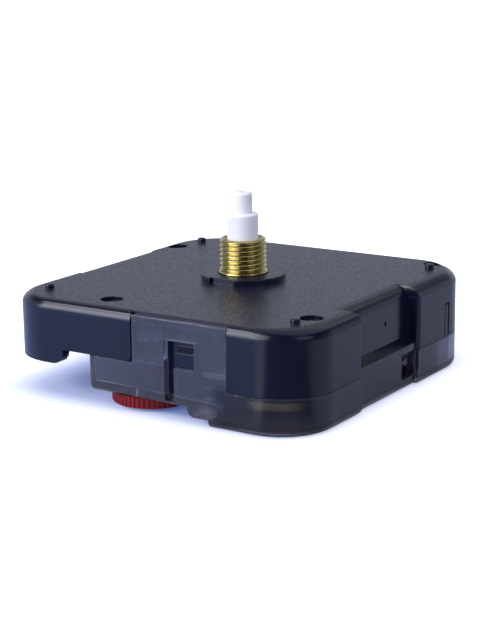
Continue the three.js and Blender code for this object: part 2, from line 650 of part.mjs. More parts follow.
function rearCover() {
  const floorRings = roundedEnd(coverPlan, coverBottomRound, coverBottomRound, coverBottomRound, 0, -1);
  const pan = loft([...floorRings, { points: coverPlan(0), z: seamHeight }]);
  const raisedFloor = knobPocket.height + coverFloor;
  const upper = prism(coverPlan(coverWall), raisedFloor, seamHeight + overrun);
  const lower = prism(coverPlan(coverWall), floorTop, raisedFloor + rootLap)
    .subtract(prism(pocketPlan(coverWall), floorTop - overrun, raisedFloor + overrun));
  const foot = block(pocketRight - footPad.width, pocketRight + rootLap, -halfLength - overrun,
    -halfLength + footPad.depth, footPad.height, knobPocket.height + overrun);
  const pocket = prism(pocketPlan(0), -overrun, knobPocket.height).subtract(foot);
  const frontBevel = prismAlongX(sharp([
    [-halfLength - overrun, knobPocket.height - overrun],
    [-halfLength + knobPocket.bevel + overrun, knobPocket.height - overrun],
    [-halfLength - overrun, knobPocket.height + knobPocket.bevel + overrun],
  ]), coverEdge - overrun, pocketRight - footPad.width);
  const bayBevel = prismAlongY(sharp([
    [coverEdge - overrun, knobPocket.height - overrun],
    [coverEdge + knobPocket.bevel + overrun, knobPocket.height - overrun],
    [coverEdge - overrun, knobPocket.height + knobPocket.bevel + overrun],
  ]), -halfLength - overrun, pocketFar);
  let cover = cut(pan, upper, lower, pocket, frontBevel, bayBevel);
  cover = join(cover, raisedWalls(), frontTab());

  const slit = block(tabWindow.left, slitRight, -halfLength - overrun, -halfLength + coverWall + seatGap,
    tabSlit.bottom, seamHeight + overrun);
  const lugSlot = block(halfWidth - rightLug.inset - coverWall - overrun, halfWidth + overrun,
    rightLug.slotNear, rightLug.slotFar, rightLug.slotBottom, rightLug.slotTop);
  const stemHole = drum(setting.stemRadius + runningGap, -overrun, raisedFloor + overrun, knobAt);
  cover = cut(cover, slit, lugSlot, stemHole);

  // Lower pivots, posts under the bridge and under the board, and the rib beside the foot
  for (const at of [shaftAt, intermediateAt, rotorAt, thirdAt]) {
    const seat = drum(boss.radius, floorTop - rootLap, bossTop, at, flats.small);
    const bore = drum(pivotRadius + pivotGap, floorTop - pivotSink, bossTop + overrun, at, flats.small);
    cover = cover.add(seat).subtract(bore);
  }
  for (const at of postPlaceShares.map(([x, y]) => [x * halfWidth, y * halfLength])) {
    cover = cover.add(drum(postRadius, floorTop - rootLap, bridgeUnderside - seatGap, at, flats.small));
  }
  for (const at of boardPostPlaceShares.map(([x, y]) => [x * halfWidth, y * halfLength])) {
    cover = cover.add(drum(boardPostRadius, floorTop - rootLap, boardUnderside - seatGap, at, flats.small));
  }
  const ribRight = pocketRight - coverRib.fromRight;
  const rib = block(ribRight - coverRib.thickness, ribRight, -halfLength + coverWall - rootLap,
    -halfLength + coverWall + coverRib.length, raisedFloor - rootLap, raisedFloor + coverRib.height);
  return cut(join(cover, rib), ...stripNotches());
}

// Notches in the cover's wall along the bay, where the leads of the two contacts pass
function stripNotches() {
  const across = [coverEdge - overrun, coverEdge + coverWall + overrun];
  const positive = block(...across, halfLength - strip.wallGap - strip.thickness - seatGap,
    halfLength - strip.wallGap + seatGap, positiveContactLow - seatGap, batteryBay.endWallBottom);
  const negative = block(...across, leadNear - seatGap, leadNear + strip.width + seatGap,
    negativeLead.low - seatGap, batteryBay.endWallBottom);
  return [positive, negative];
}

// A drum that lies along Y
function drumAlongY(radius, y0, y1, x, z, sides = flats.middle) {
  const geometry = new THREE.CylinderGeometry(radius, radius, y1 - y0, sides);
  geometry.translate(x, (y0 + y1) / 2, z);
  return toSolid(geometry);
}

// A solid turned about a line along Y, from [radius, y] pairs
function turnedAlongY(profile, x, z, sides = flats.middle) {
  const geometry = new THREE.LatheGeometry(profile.map(([r, y]) => new THREE.Vector2(r, y)), sides);
  geometry.translate(x, 0, z);
  return toSolid(geometry);
}

// Hand shafts
function threadedBushing() {
  const { radius, chamfer, flangeRadius, flangeHeight } = bushing;
  const top = bushingTop;
  const body = turned([
    [0, flangeUnderside],
    [flangeRadius, flangeUnderside],
    [flangeRadius, flangeUnderside + flangeHeight],
    [radius, flangeUnderside + flangeHeight],
    [radius, top - chamfer],
    [radius - chamfer, top],
    [0, top],
  ], shaftAt, flats.large);
  return body.subtract(drum(hourTube.radius + runningGap, flangeUnderside - overrun, top + overrun));
}

// The disc of a wheel, with round holes through its web
function wheel({ wheel: teeth, module }, phase, at, low, web = wheelWeb) {
  const disc = toothed({ teeth, module, shares: wheelToothShares, phase, at, from: low, to: low + web });
  const pitchRadius = (teeth * module) / 2;
  const holeRadius = wheelHoles.radiusShare * pitchRadius;
  const holes = [];
  for (let i = 0; i < wheelHoles.count; i++) {
    const angle = phase + (2 * Math.PI * i) / wheelHoles.count;
    const place = polar(at, wheelHoles.placeShare * pitchRadius, angle);
    holes.push(drum(holeRadius, low - overrun, low + web + overrun, place, flats.tiny));
  }
  return cut(disc, ...holes);
}

function pinion({ pinion: teeth, module }, phase, at, from, to) {
  return toothed({ teeth, module, shares: pinionToothShares, phase, at, from, to });
}

function hourWheel() {
  const { radius, chamfer, web, bossRadius, bossHeight } = hourTube;
  const top = hourTubeTop;
  const tube = turned([
    [0, hourLevel],
    [bossRadius, hourLevel],
    [bossRadius, hourLevel + web + bossHeight],
    [radius, hourLevel + web + bossHeight],
    [radius, top - chamfer],
    [radius - chamfer, top],
    [0, top],
  ]);
  const bore = drum(minuteShaft.radius + runningGap, hourLevel - overrun, top + overrun);
  return wheel(hourMesh, hourPhase, shaftAt, hourLevel, web).add(tube).subtract(bore);
}

function minuteArbor() {
  const { radius, chamfer, drop, collarRadius, pinionLength } = minuteShaft;
  const [bottom, top] = [centreLevel - drop, minuteShaftTop];
  const shaft = turned([
    [0, bottom],
    [radius, bottom],
    [radius, bridgeTop + endShake],
    [collarRadius, bridgeTop + endShake],
    [collarRadius, cannonTop - pinionLength],
    [radius, cannonTop - pinionLength],
    [radius, top - chamfer],
    [radius - chamfer, top],
    [0, top],
  ]);
  const cannonPinion = pinion(motionMesh, 0, shaftAt, cannonTop - pinionLength, cannonTop);
  const bore = drum(secondsShaft.radius + secondsGap, bottom - overrun, top + overrun, shaftAt, flats.small);
  return shaft.add(cannonPinion).subtract(bore);
}

// Motion work
function minuteWheel() {
  const arbor = turned([
    [0, bridgeUnderside + seatGap],
    [motionPivotRadius, bridgeUnderside + seatGap],
    [motionPivotRadius, bridgeTop + endShake],
    [motionArborRadius, bridgeTop + endShake],
    [motionArborRadius, motionShoulder],
    [motionPivotRadius, motionShoulder],
    [motionPivotRadius, plateUnderside + pivotSink - seatGap],
    [0, plateUnderside + pivotSink - seatGap],
  ], minuteWheelAt, flats.small);
  const teeth = pinion(hourMesh, 0, minuteWheelAt, minuteLevel + motionStack.web, motionShoulder);
  const disc = wheel(motionMesh, minuteWheelPhase, minuteWheelAt, minuteLevel, motionStack.web);
  return join(disc, teeth, arbor);
}

const settingGearLow = minuteLevel - pinionLap;
const stemTop = settingGearLow - seatGap;

function settingKnob() {
  const { knobRadius, knobBottom, knobThickness, ribs, dishRadius, dishDepth } = setting;
  const knobTop = knobBottom + knobThickness;
  const module = (2 * knobRadius) / (ribs + 2 * knurlShares.at(-1)[1]);
  const rim = toothed({
    teeth: ribs, module, shares: knurlShares, phase: 0, at: knobAt, from: knobBottom, to: knobTop,
  });
  const dish = drum(dishRadius, knobBottom - overrun, knobBottom + dishDepth, knobAt);
  const hub = drum(setting.hubRadius, knobBottom + dishDepth / 2, knobTop, knobAt);
  const stem = drum(setting.stemRadius, knobTop - rootLap, stemTop, knobAt);
  const spigotTop = stemTop + setting.spigotLength;
  const spigot = drum(setting.spigotRadius, stemTop - rootLap, spigotTop, knobAt, flats.small);
  return join(rim.subtract(dish), hub, stem, spigot);
}

function settingPinion() {
  const gearTop = minuteLevel + motionStack.web + pinionLap;
  const gear = toothed({
    teeth: settingTeeth, module: motionMesh.module, shares: wheelToothShares, phase: settingPhase,
    at: knobAt, from: settingGearLow, to: gearTop,
  });
  const arbor = turned([
    [0, settingGearLow + rootLap],
    [motionArborRadius, settingGearLow + rootLap],
    [motionArborRadius, motionShoulder],
    [motionPivotRadius, motionShoulder],
    [motionPivotRadius, plateUnderside + pivotSink - seatGap],
    [0, plateUnderside + pivotSink - seatGap],
  ], knobAt, flats.small);
  const socket = drum(setting.spigotRadius + seatGap, settingGearLow - overrun,
    stemTop + setting.spigotLength + seatGap, knobAt, flats.small);
  return gear.add(arbor).subtract(socket);
}

// Going train
const trainLow = bossTop + endShake;
const trainHigh = bridgeUnderside - endShake;
const pivotLow = floorTop - pivotSink + seatGap;
const pivotHigh = bridgeTop - seatGap;

function trainArbor(at) {
  return turned([
    [0, pivotLow],
    [pivotRadius, pivotLow],
    [pivotRadius, trainLow],
    [arborRadius, trainLow],
    [arborRadius, trainHigh],
    [pivotRadius, trainHigh],
    [pivotRadius, pivotHigh],
    [0, pivotHigh],
  ], at, flats.small);
}

function intermediateWheel() {
  const disc = wheel(rotorMesh, rotorTrainPhase, intermediateAt, intermediateLevel);
  const teeth = pinion(secondsMesh, 0, intermediateAt, intermediateLevel + wheelWeb,
    secondsLevel + wheelWeb + pinionLap);
  return join(disc, teeth, trainArbor(intermediateAt));
}

function thirdWheel() {
  const disc = wheel(thirdMesh, thirdWheelPhase, thirdAt, thirdLevel);
  const teeth = pinion(centreMesh, 0, thirdAt, thirdLevel + wheelWeb, centreLevel + wheelWeb + pinionLap);
  return join(disc, teeth, trainArbor(thirdAt));
}

function secondsArbor() {
  const { radius, belowMinuteTop } = secondsShaft;
  return turned([
    [0, pivotLow],
    [pivotRadius, pivotLow],
    [pivotRadius, trainLow],
    [radius, trainLow],
    [radius, minuteShaftTop - belowMinuteTop],
    [0, minuteShaftTop - belowMinuteTop],
  ], shaftAt, flats.small);
}

function secondsWheel() {
  const disc = wheel(secondsMesh, secondsPhase, shaftAt, secondsLevel);
  const pinionTop = thirdLevel + wheelWeb + pinionLap;
  const teeth = pinion(thirdMesh, 0, shaftAt, secondsLevel + wheelWeb, pinionTop);
  const boreRadius = secondsShaft.radius + seatGap;
  const bore = drum(boreRadius, secondsLevel - overrun, pinionTop + overrun, shaftAt, flats.small);
  return disc.add(teeth).subtract(bore);
}

function centreWheel() {
  const low = centreLevel - centreHub.drop;
  const hub = drum(centreHub.radius, low, centreLevel + wheelWeb);
  const bore = drum(minuteShaft.radius + seatGap, low - overrun, centreLevel + wheelWeb + overrun);
  return wheel(centreMesh, centrePhase, shaftAt, centreLevel).add(hub).subtract(bore);
}

// The springy washer that presses the centre wheel to the minute arbor, and slips when the hands are set
function clutchWasherRing() {
  const low = centreLevel + wheelWeb + seatGap;
  const ring = drum(clutchWasher.radius, low, low + clutchWasher.thickness);
  return ring.subtract(drum(minuteShaft.radius + seatGap, low - overrun, low + overrun));
}

function gearBridge() {
  const left = coverEdge + coverWall + bridge.sideGap;
  const near = -halfLength + bridge.wallGap;
  const plate = prism(casePlan(bridge.wallGap), bridgeUnderside, bridgeTop);
  const inside = block(left, halfWidth, -halfLength, halfLength,
    bridgeUnderside - overrun, bridgeTop + overrun);
  const step = block(left - overrun, leadRight + bridge.leadGap,
    near - overrun, -halfLength + bridge.nearSetback, bridgeUnderside - overrun, bridgeTop + overrun);
  const holes = [
    [shaftAt, minuteShaft.radius + runningGap, flats.middle],
    [knobAt, setting.stemRadius + runningGap, flats.middle],
    [minuteWheelAt, motionPivotRadius + pivotGap, flats.small],
    ...[intermediateAt, rotorAt, thirdAt].map((at) => [at, pivotRadius + pivotGap, flats.small]),
  ].map(([at, radius, sides]) => drum(radius, bridgeUnderside - overrun, bridgeTop + overrun, at, sides));
  return cut(plate.intersect(inside), step, ...holes);
}

// Stepping motor
const statorLow = coil.cheekRadius + floorTop + seatGap + coil.coreThickness / 2 + seatGap;
const statorHigh = statorLow + stator.thickness;
const coreHigh = statorLow - seatGap;
const coreLow = coreHigh - coil.coreThickness;
const coilAxis = (coreLow + coreHigh) / 2;
const magnetLow = (statorLow + statorHigh - magnet.height) / 2;
const statorRight = rotorAt[0] + stator.pastRotor;
const statorNear = rotorAt[1] - stator.nearReach;
const statorFar = rotorAt[1] + stator.farReach;
const coilX = statorRight + coil.statorGap + coil.cheekRadius;
const bobbinNear = statorNear + stator.armWidth + bobbinGap;
const bobbinFar = statorFar - stator.armWidth - bobbinGap;
const armMiddles = [statorNear + stator.armWidth / 2, statorFar - stator.armWidth / 2];
const stakePins = armMiddles.map((y) => [coilX, y]);

function rotorPinion() {
  const teethTop = intermediateLevel + wheelWeb + pinionLap;
  const teeth = pinion(rotorMesh, rotorPhase, rotorAt, trainLow, teethTop);
  const collar = drum(rotorCollarRadius, teethTop - rootLap, magnetLow - seatGap, rotorAt, flats.small);
  return join(teeth, collar, trainArbor(rotorAt));
}

function rotorMagnet() {
  const ring = drum(magnet.radius, magnetLow, magnetLow + magnet.height, rotorAt);
  const bore = drum(arborRadius + magnet.boreGap, magnetLow - overrun, magnetLow + magnet.height + overrun,
    rotorAt, flats.small);
  return ring.subtract(bore);
}

function statorPlate() {
  const left = rotorAt[0] - stator.beforeRotor;
  const bar = block(left, statorRight, statorNear, statorFar, statorLow, statorHigh);
  const arms = [statorNear, statorFar - stator.armWidth].map((y) => {
    return block(left, coilX + stator.pastCoil, y, y + stator.armWidth, statorLow, statorHigh);
  });
  const through = [statorLow - overrun, statorHigh + overrun];
  const hole = drum(magnet.radius + rotorGap, ...through, rotorAt);
  const notches = [0, Math.PI].map((angle) => {
    const at = polar(rotorAt, magnet.radius + rotorGap, angle + rotorAngle);
    return drum(statorNotchRadius, ...through, at, flats.small);
  });
  const pinHoles = stakePins.map((at) => drum(stakePinRadius + seatGap, ...through, at, flats.small));
  return cut(join(bar, ...arms), hole, ...notches, ...pinHoles);
}

function coilCore() {
  const sides = [coilX - coil.coreWidth / 2, coilX + coil.coreWidth / 2];
  const core = block(...sides, statorNear + rootLap, statorFar - rootLap, coreLow, coreHigh);
  const pinHoles = stakePins.map((at) => {
    return drum(stakePinRadius + seatGap, coreLow - overrun, coreHigh + overrun, at, flats.small);
  });
  return cut(core, ...pinHoles);
}

function coilBobbin() {
  const { coreWidth, coreThickness, cheekRadius, cheekThickness } = coil;
  const spool = turnedAlongY([
    [0, bobbinNear],
    [cheekRadius, bobbinNear],
    [cheekRadius, bobbinNear + cheekThickness],
    [bobbinTubeRadius, bobbinNear + cheekThickness],
    [bobbinTubeRadius, bobbinFar - cheekThickness],
    [cheekRadius, bobbinFar - cheekThickness],
    [cheekRadius, bobbinFar],
    [0, bobbinFar],
  ], coilX, coilAxis);
  const reachX = coreWidth / 2 + seatGap;
  const reachZ = coreThickness / 2 + seatGap;
  return spool.subtract(block(coilX - reachX, coilX + reachX, bobbinNear - overrun, bobbinFar + overrun,
    coilAxis - reachZ, coilAxis + reachZ));
}

function coilWinding() {
  const near = bobbinNear + coil.cheekThickness + seatGap;
  const far = bobbinFar - coil.cheekThickness - seatGap;
  const inner = bobbinTubeRadius + seatGap;
  return turnedAlongY([
    [inner, near],
    [windingRadius, near],
    [windingRadius, far],
    [inner, far],
    [inner, near],
  ], coilX, coilAxis);
}

// Electrics
function circuitBoard() {
  const outline = casePlan(board.wallGap, board.wallGap, { recessed: false });
  return prism(outline, boardUnderside, boardTop)
    .intersect(block(boardLeft, halfWidth, -halfLength, boardFar,
      boardUnderside - overrun, boardTop + overrun));
}

function chipBlob() {
  const top = boardUnderside - seatGap;
  return turned([
    [0, top - chip.height],
    [chip.topRadius, top - chip.height],
    [(chip.topRadius + chip.radius) / 2, top - chip.height * chipShoulderShare],
    [chip.radius, top],
    [0, top],
  ], [halfWidth - chip.sideInset, -halfLength + chip.endInset]);
}

function crystalCan() {
  const geometry = new THREE.CylinderGeometry(crystal.radius, crystal.radius, crystal.length, flats.small);
  geometry.rotateZ(Math.PI / 2);
  const middle = halfWidth - crystal.sideInset - crystal.length / 2;
  geometry.translate(middle, -halfLength + crystal.endInset, boardTop + seatGap + crystal.radius);
  return toSolid(geometry);
}

function positiveContact() {
  const { wallSideGap, trainSideGap, top, nubRadius, nubReach } = positivePlate;
  const [plateLeft, plateRight] = [bayLeft + wallSideGap, bayRight - trainSideGap];
  const far = halfLength - strip.wallGap;
  const near = far - strip.thickness;
  const low = positiveContactLow;
  const high = low + strip.width;
  const outer = casePlan(strip.wallGap, strip.wallGap, { recessed: false });
  const innerGap = strip.wallGap + strip.thickness;
  const inner = casePlan(innerGap, innerGap, { recessed: false });
  const band = prism(outer, low, high).subtract(prism(inner, low - overrun, high + overrun))
    .intersect(block(plateRight - rootLap, halfWidth, boardFar + seatGap, halfLength,
      low - overrun, high + overrun));
  const plate = block(plateLeft, plateRight, near, far, low, top);
  const nub = drumAlongY(nubRadius, near - nubReach, near + strip.thickness / 2, bayMiddle, cellAxis);
  const footLow = boardTop + seatGap;
  const footHigh = footLow + strip.thickness;
  const right = halfWidth - strip.wallGap;
  const leg = block(right - strip.thickness, right, boardFar + seatGap, boardFar + strip.width,
    Math.min(low, footLow), Math.max(high, footHigh));
  const foot = block(right - strip.width, right, boardFar - strip.footLength, boardFar + strip.width,
    footLow, footHigh);
  return join(band, plate, nub, leg, foot);
}

function negativeContact() {
  const { wallSideGap, lobeBottom, wallBottom, top, tailWidth, tailSideGap, tailBottom } = negativePlate;
  const left = bayLeft + wallSideGap;
  const tailRight = bayRight - tailSideGap;
  const tailLeft = tailRight - tailWidth;
  const near = -halfLength + caseWall + seatGap;
  const face = near + strip.thickness;
  const plate = prismAlongY(sharp([
    [left, lobeBottom],
    [lobeRight - seatGap, lobeBottom],
    [lobeRight - seatGap, wallBottom],
    [tailLeft, wallBottom],
    [tailLeft, tailBottom],
    [tailRight, tailBottom],
    [tailRight, top],
    [left, top],
  ]), near, face);
  const { low, footLength } = negativeLead;
  const footLow = boardTop + seatGap;
  const leadFar = leadNear + strip.width;
  const lead = join(
    block(tailLeft, tailRight, near, leadFar, low, low + strip.thickness),
    block(tailLeft, leadRight, leadNear, leadFar, low, low + strip.thickness),
    block(leadRight - strip.thickness, leadRight, leadNear, leadFar, footLow, low + strip.thickness),
    block(leadRight - strip.thickness, boardLeft + footLength, leadNear, leadFar,
      footLow, footLow + strip.thickness),
  );
  return join(plate, lead, leafSpring(face));
}

// The leaf leans from the top of the plate against the end of the cell, and its lower end turns back.
function leafSpring(face) {
  const { top, leafWidth, leafReach, leafEndReach, leafEndDrop } = negativePlate;
  const tip = cellAxis;
  const outline = [
    [face - strip.thickness, top],
    [face + leafReach - strip.thickness, tip],
    [face + leafEndReach, tip - leafEndDrop],
    [face + leafEndReach + strip.thickness, tip - leafEndDrop],
    [face + leafReach, tip],
    [face, top],
  ];
  return prismAlongX(sharp(outline), bayMiddle - leafWidth / 2, bayMiddle + leafWidth / 2);
}

// Finishes of the pieces
const finishes = {
  greyPlastic: { color: 0x4f515c, roughness: 0.62, metalness: 0 },
  smokePlastic: { color: 0x5c5663, roughness: 0.3, metalness: 0 },
  redPlastic: { color: 0x8e1226, roughness: 0.4, metalness: 0 },
  whitePlastic: { color: 0xe8e6ee, roughness: 0.45, metalness: 0 },
  creamPlastic: { color: 0xd9d2c0, roughness: 0.5, metalness: 0 },
  brass: { color: 0xc9a45a, roughness: 0.3, metalness: 1 },
  steel: { color: 0xa9abb0, roughness: 0.35, metalness: 1 },
  tinnedStrip: { color: 0xc4c3c0, roughness: 0.3, metalness: 1 },
  ferrite: { color: 0x2b2b2e, roughness: 0.6, metalness: 0.2 },
  copper: { color: 0xa5562c, roughness: 0.35, metalness: 1 },
  boardBrown: { color: 0x8a5a33, roughness: 0.6, metalness: 0 },
  blackResin: { color: 0x141416, roughness: 0.35, metalness: 0 },
};

function piece(name, solid, finish) {
  const mesh = new THREE.Mesh(toGeometry(solid), new THREE.MeshStandardMaterial(finishes[finish]));
  mesh.name = name;
  return mesh;
}

function assembly(...pieces) {
  const group = new THREE.Group();
  group.add(...pieces);
  return group;
}

const movement = assembly(
  assembly(
    piece('front_housing', frontHousing(), 'greyPlastic'),
    piece('rear_cover', rearCover(), 'smokePlastic'),
    piece('threaded_bushing', threadedBushing(), 'brass'),
    piece('gear_bridge', gearBridge(), 'creamPlastic'),
  ),
  assembly(
    piece('rotor_pinion', rotorPinion(), 'whitePlastic'),
    piece('rotor_magnet', rotorMagnet(), 'ferrite'),
    piece('intermediate_wheel', intermediateWheel(), 'whitePlastic'),
    piece('seconds_arbor', secondsArbor(), 'steel'),
    piece('seconds_wheel', secondsWheel(), 'whitePlastic'),
    piece('third_wheel', thirdWheel(), 'whitePlastic'),
    piece('centre_wheel', centreWheel(), 'whitePlastic'),
    piece('clutch_washer', clutchWasherRing(), 'brass'),
  ),
  assembly(
    piece('minute_arbor', minuteArbor(), 'whitePlastic'),
    piece('minute_wheel', minuteWheel(), 'whitePlastic'),
    piece('hour_wheel', hourWheel(), 'whitePlastic'),
    piece('setting_knob', settingKnob(), 'redPlastic'),
    piece('setting_pinion', settingPinion(), 'whitePlastic'),
  ),
  assembly(
    piece('stator', statorPlate(), 'steel'),
    piece('coil_core', coilCore(), 'steel'),
    piece('coil_bobbin', coilBobbin(), 'creamPlastic'),
    piece('coil_winding', coilWinding(), 'copper'),
    piece('circuit_board', circuitBoard(), 'boardBrown'),
    piece('chip_blob', chipBlob(), 'blackResin'),
    piece('crystal_can', crystalCan(), 'steel'),
    piece('positive_contact', positiveContact(), 'tinnedStrip'),
    piece('negative_contact', negativeContact(), 'tinnedStrip'),
  ),
);

export default movement;
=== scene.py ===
# %% [markdown]
# Quartz clock movement
#
# A quartz movement is a small motor, a train of plastic wheels and a battery box in one moulded
# case. This lesson dresses the CAD model of one. It keeps the wheels and the motor as they are. It
# models the housing, the cover, the bushing, the shafts, the knob and the battery contacts afresh,
# with their mouldings, threads and bends, and gives each piece a finish. The CAD model is loaded
# first, because it says where everything goes.

import math

import bpy
from mathutils import Matrix, Vector


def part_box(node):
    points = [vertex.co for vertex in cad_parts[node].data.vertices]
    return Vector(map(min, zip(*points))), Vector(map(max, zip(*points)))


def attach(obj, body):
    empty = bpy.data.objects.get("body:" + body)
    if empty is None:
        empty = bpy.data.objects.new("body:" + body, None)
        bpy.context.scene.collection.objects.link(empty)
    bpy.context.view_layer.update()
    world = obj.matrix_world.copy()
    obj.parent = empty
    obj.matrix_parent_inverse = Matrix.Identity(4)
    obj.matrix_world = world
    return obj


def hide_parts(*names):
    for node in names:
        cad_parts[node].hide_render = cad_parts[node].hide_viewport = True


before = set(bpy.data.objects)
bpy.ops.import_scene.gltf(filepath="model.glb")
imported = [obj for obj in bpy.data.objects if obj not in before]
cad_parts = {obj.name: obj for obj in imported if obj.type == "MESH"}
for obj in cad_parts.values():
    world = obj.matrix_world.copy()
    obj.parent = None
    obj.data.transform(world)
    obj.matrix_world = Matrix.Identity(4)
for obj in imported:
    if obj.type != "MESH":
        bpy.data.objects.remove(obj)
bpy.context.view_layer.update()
MM = 0.001

# %% [markdown]
# The camera
#
# The photograph was taken with a long lens, a little above the movement, towards the corner between
# the snap tab and the finger recess. A camera that stands on a circle round the movement needs only
# a direction, a distance and a point to look at, which are easier to correct than six raw numbers.

# %% Place the camera
VIEW_AZIMUTH = math.radians(33.14)
VIEW_ELEVATION = math.radians(14.02)
VIEW_ROLL = math.radians(-0.76)
VIEW_DISTANCE = 270.97 * MM
VIEW_TARGET = Vector((-0.69, -0.12, 9.03)) * MM
LENS = 92.73

camera_data = bpy.data.cameras.new("camera")
camera_data.lens = LENS
camera = bpy.data.objects.new("camera", camera_data)
bpy.context.scene.collection.objects.link(camera)
turn = (
    Matrix.Rotation(VIEW_AZIMUTH, 4, "Z")
    @ Matrix.Rotation(math.pi / 2 - VIEW_ELEVATION, 4, "X")
    @ Matrix.Rotation(VIEW_ROLL, 4, "Z")
)
back = turn @ Vector((0, 0, VIEW_DISTANCE))
camera.matrix_world = Matrix.Translation(VIEW_TARGET + back) @ turn
bpy.context.scene.camera = camera
print("camera at", [round(c / MM, 1) for c in camera.location], "mm")

# %% [markdown]
# The studio
#
# The movement lies on a white table in a white room. The camera sees the room as pure white, and so
# does what shows through the clear plastic. Glossy surfaces see another room, as in a real studio:
# it is dark overhead and on the camera's right, and a bright window low on the left draws the
# highlights along the fillets and on the brass. In an evenly white room polished plastic and brass
# look flat. The room, the table and the finishes are wired from shader nodes. A few helpers add a
# node and feed its inputs, and they put it where the value that feeds it comes from.

# %% Wire shader nodes
def feed(socket, value):
    """Gives an input a constant, or links it to another node's output."""
    if isinstance(value, bpy.types.NodeSocket):
        socket.id_data.links.new(value, socket)
    else:
        socket.default_value = (*value, 1) if socket.type == "RGBA" else value


def add(tree, kind, inputs=None, **settings):
    """A new node with its settings made and its inputs, by name or number, fed."""
    node = tree.nodes.new("ShaderNode" + kind)
    for label, value in settings.items():
        setattr(node, label, value)
    for label, value in (inputs or {}).items():
        feed(node.inputs[label], value)
    return node


def on_object(tree):
    """The place on the object, in metres."""
    return add(tree, "TexCoord").outputs["Object"]


def along_axes(vector):
    """A vector's lengths along X, Y and Z."""
    return add(vector.id_data, "SeparateXYZ", {0: vector}).outputs


def blend_range(value, low, high, to_low=0.0, to_high=1.0):
    """Maps a range of a value to another range, clamped."""
    ends = {"Value": value, "From Min": low, "From Max": high, "To Min": to_low, "To Max": to_high}
    return add(value.id_data, "MapRange", ends).outputs["Result"]


def math_node(operation, *values):
    return add(values[0].id_data, "Math", dict(enumerate(values)), operation=operation).outputs[0]


def vector_node(operation, *values):
    inputs = dict(enumerate(values))
    return add(values[0].id_data, "VectorMath", inputs, operation=operation).outputs


def colour_mix(factor, first, second):
    """Blends two colours, each a tuple or a socket."""
    colours = {"Factor": factor, 6: first, 7: second}
    return add(factor.id_data, "Mix", colours, data_type="RGBA").outputs[2]


def towards(vector, way):
    """How far a vector points a given way: 1 along it, 0 across it."""
    return vector_node("DOT_PRODUCT", vector_node("NORMALIZE", vector)[0], way)["Value"]


# %% Start a finish
def shader_of(material):
    return material.node_tree.nodes["Principled BSDF"].inputs


def new_finish(name, **constants):
    """A material with constants on its shader, given as Socket_Name=value."""
    material = bpy.data.materials.new(name)
    material.use_nodes = True
    for label, value in constants.items():
        feed(shader_of(material)[label.replace("_", " ")], value)
    return material, material.node_tree, shader_of(material)


# %% Build the room
DARK_SIDE = (0.87, -0.49, 0.0)
WINDOW_SIDE = (-0.55, -0.84, 0.12)
WINDOW_LIGHT = 4.0
SURFACE_LIGHT = 0.62
WHITE = (1, 1, 1)

scene = bpy.context.scene
scene.view_settings.view_transform = "Standard"
world = bpy.data.worlds.new("white_room")
scene.world = world
world.use_nodes = True
tree = world.node_tree
path = add(tree, "LightPath").outputs
direction = add(tree, "TexCoord").outputs["Generated"]
from_side = blend_range(towards(direction, DARK_SIDE), -0.2, 0.75, 0.78, 0.06)
from_height = blend_range(towards(direction, (0, 0, 1)), 0.24, 0.5, 1.0, 0.14)
window = blend_range(towards(direction, WINDOW_SIDE), 0.93, 0.985, 0.0, WINDOW_LIGHT)
gloss_light = math_node("ADD", math_node("MULTIPLY", from_side, from_height), window)
room = tree.nodes["Background"]
feed(room.inputs["Color"], (0.8, 0.86, 1.0))
light = blend_range(path["Is Glossy Ray"], 0.0, 1.0, SURFACE_LIGHT, gloss_light)
feed(room.inputs["Strength"], light)
backdrop = add(tree, "Background", {"Color": WHITE})
seen = math_node("MAXIMUM", path["Is Camera Ray"], path["Is Transmission Ray"])
choice = add(tree, "MixShader", {0: seen, 1: room.outputs[0], 2: backdrop.outputs[0]})
feed(tree.nodes["World Output"].inputs["Surface"], choice.outputs[0])
print("room light on surfaces:", SURFACE_LIGHT)

# %% [markdown]
# The table
#
# The table is lit by the lamps like everything else, and a glow that only the camera sees lifts it
# to white. Towards the movement the glow turns dim and blue, along its square outline set a little
# to the left: that is painted shadow, which deepens and tints the lamps' own soft shadow there.
# Under the glow, the table's own colour is darker than white. The sides of the movement mirror the
# table a few centimetres away, so its colour there is painted reflection: bluish on the left and
# dark towards the camera, which paints the dark plastic's navy sheen and its dark corner, and a
# narrow white stripe from the near corner paints the highlight beside it. Right beside the movement
# the table is a pale blue, which deepens the painted shadow.

# %% Lay the table
TABLE_SIZE = 3.0
PAINTED_SHADOW_BLUE = (0.05, 0.09, 0.28)
BLUISH_SIDE = (-0.55, -0.84, 0.0)
CAMERA_SIDE = (0.643, -0.766, 0.0)
STRIPE_SIDE = (-0.145, -0.989, 0.0)
NEAR_CORNER = (0.0192, -0.0192, 0)

bpy.ops.mesh.primitive_plane_add(size=TABLE_SIZE, location=(0, 0, 0))
table = bpy.context.object
table.name = "table"
table_finish, tree, cloth = new_finish("white_table", Roughness=0.9, Specular_IOR_Level=0.1)
place = on_object(tree)
reach = along_axes(place)
# The glow's outline is set 3 mm to the left, so the painted shadow reaches further there.
sideways = math_node("ABSOLUTE", math_node("ADD", reach["X"], 0.003))
square = math_node("SMOOTH_MAX", sideways, math_node("ABSOLUTE", reach["Y"]), 0.012)
# Near the movement the glow is dim and blue: painted shadow.
feed(cloth["Emission Color"], colour_mix(blend_range(square, 0.024, 0.037), PAINTED_SHADOW_BLUE, WHITE))
feed(cloth["Emission Strength"], add(tree, "LightPath").outputs["Is Camera Ray"])
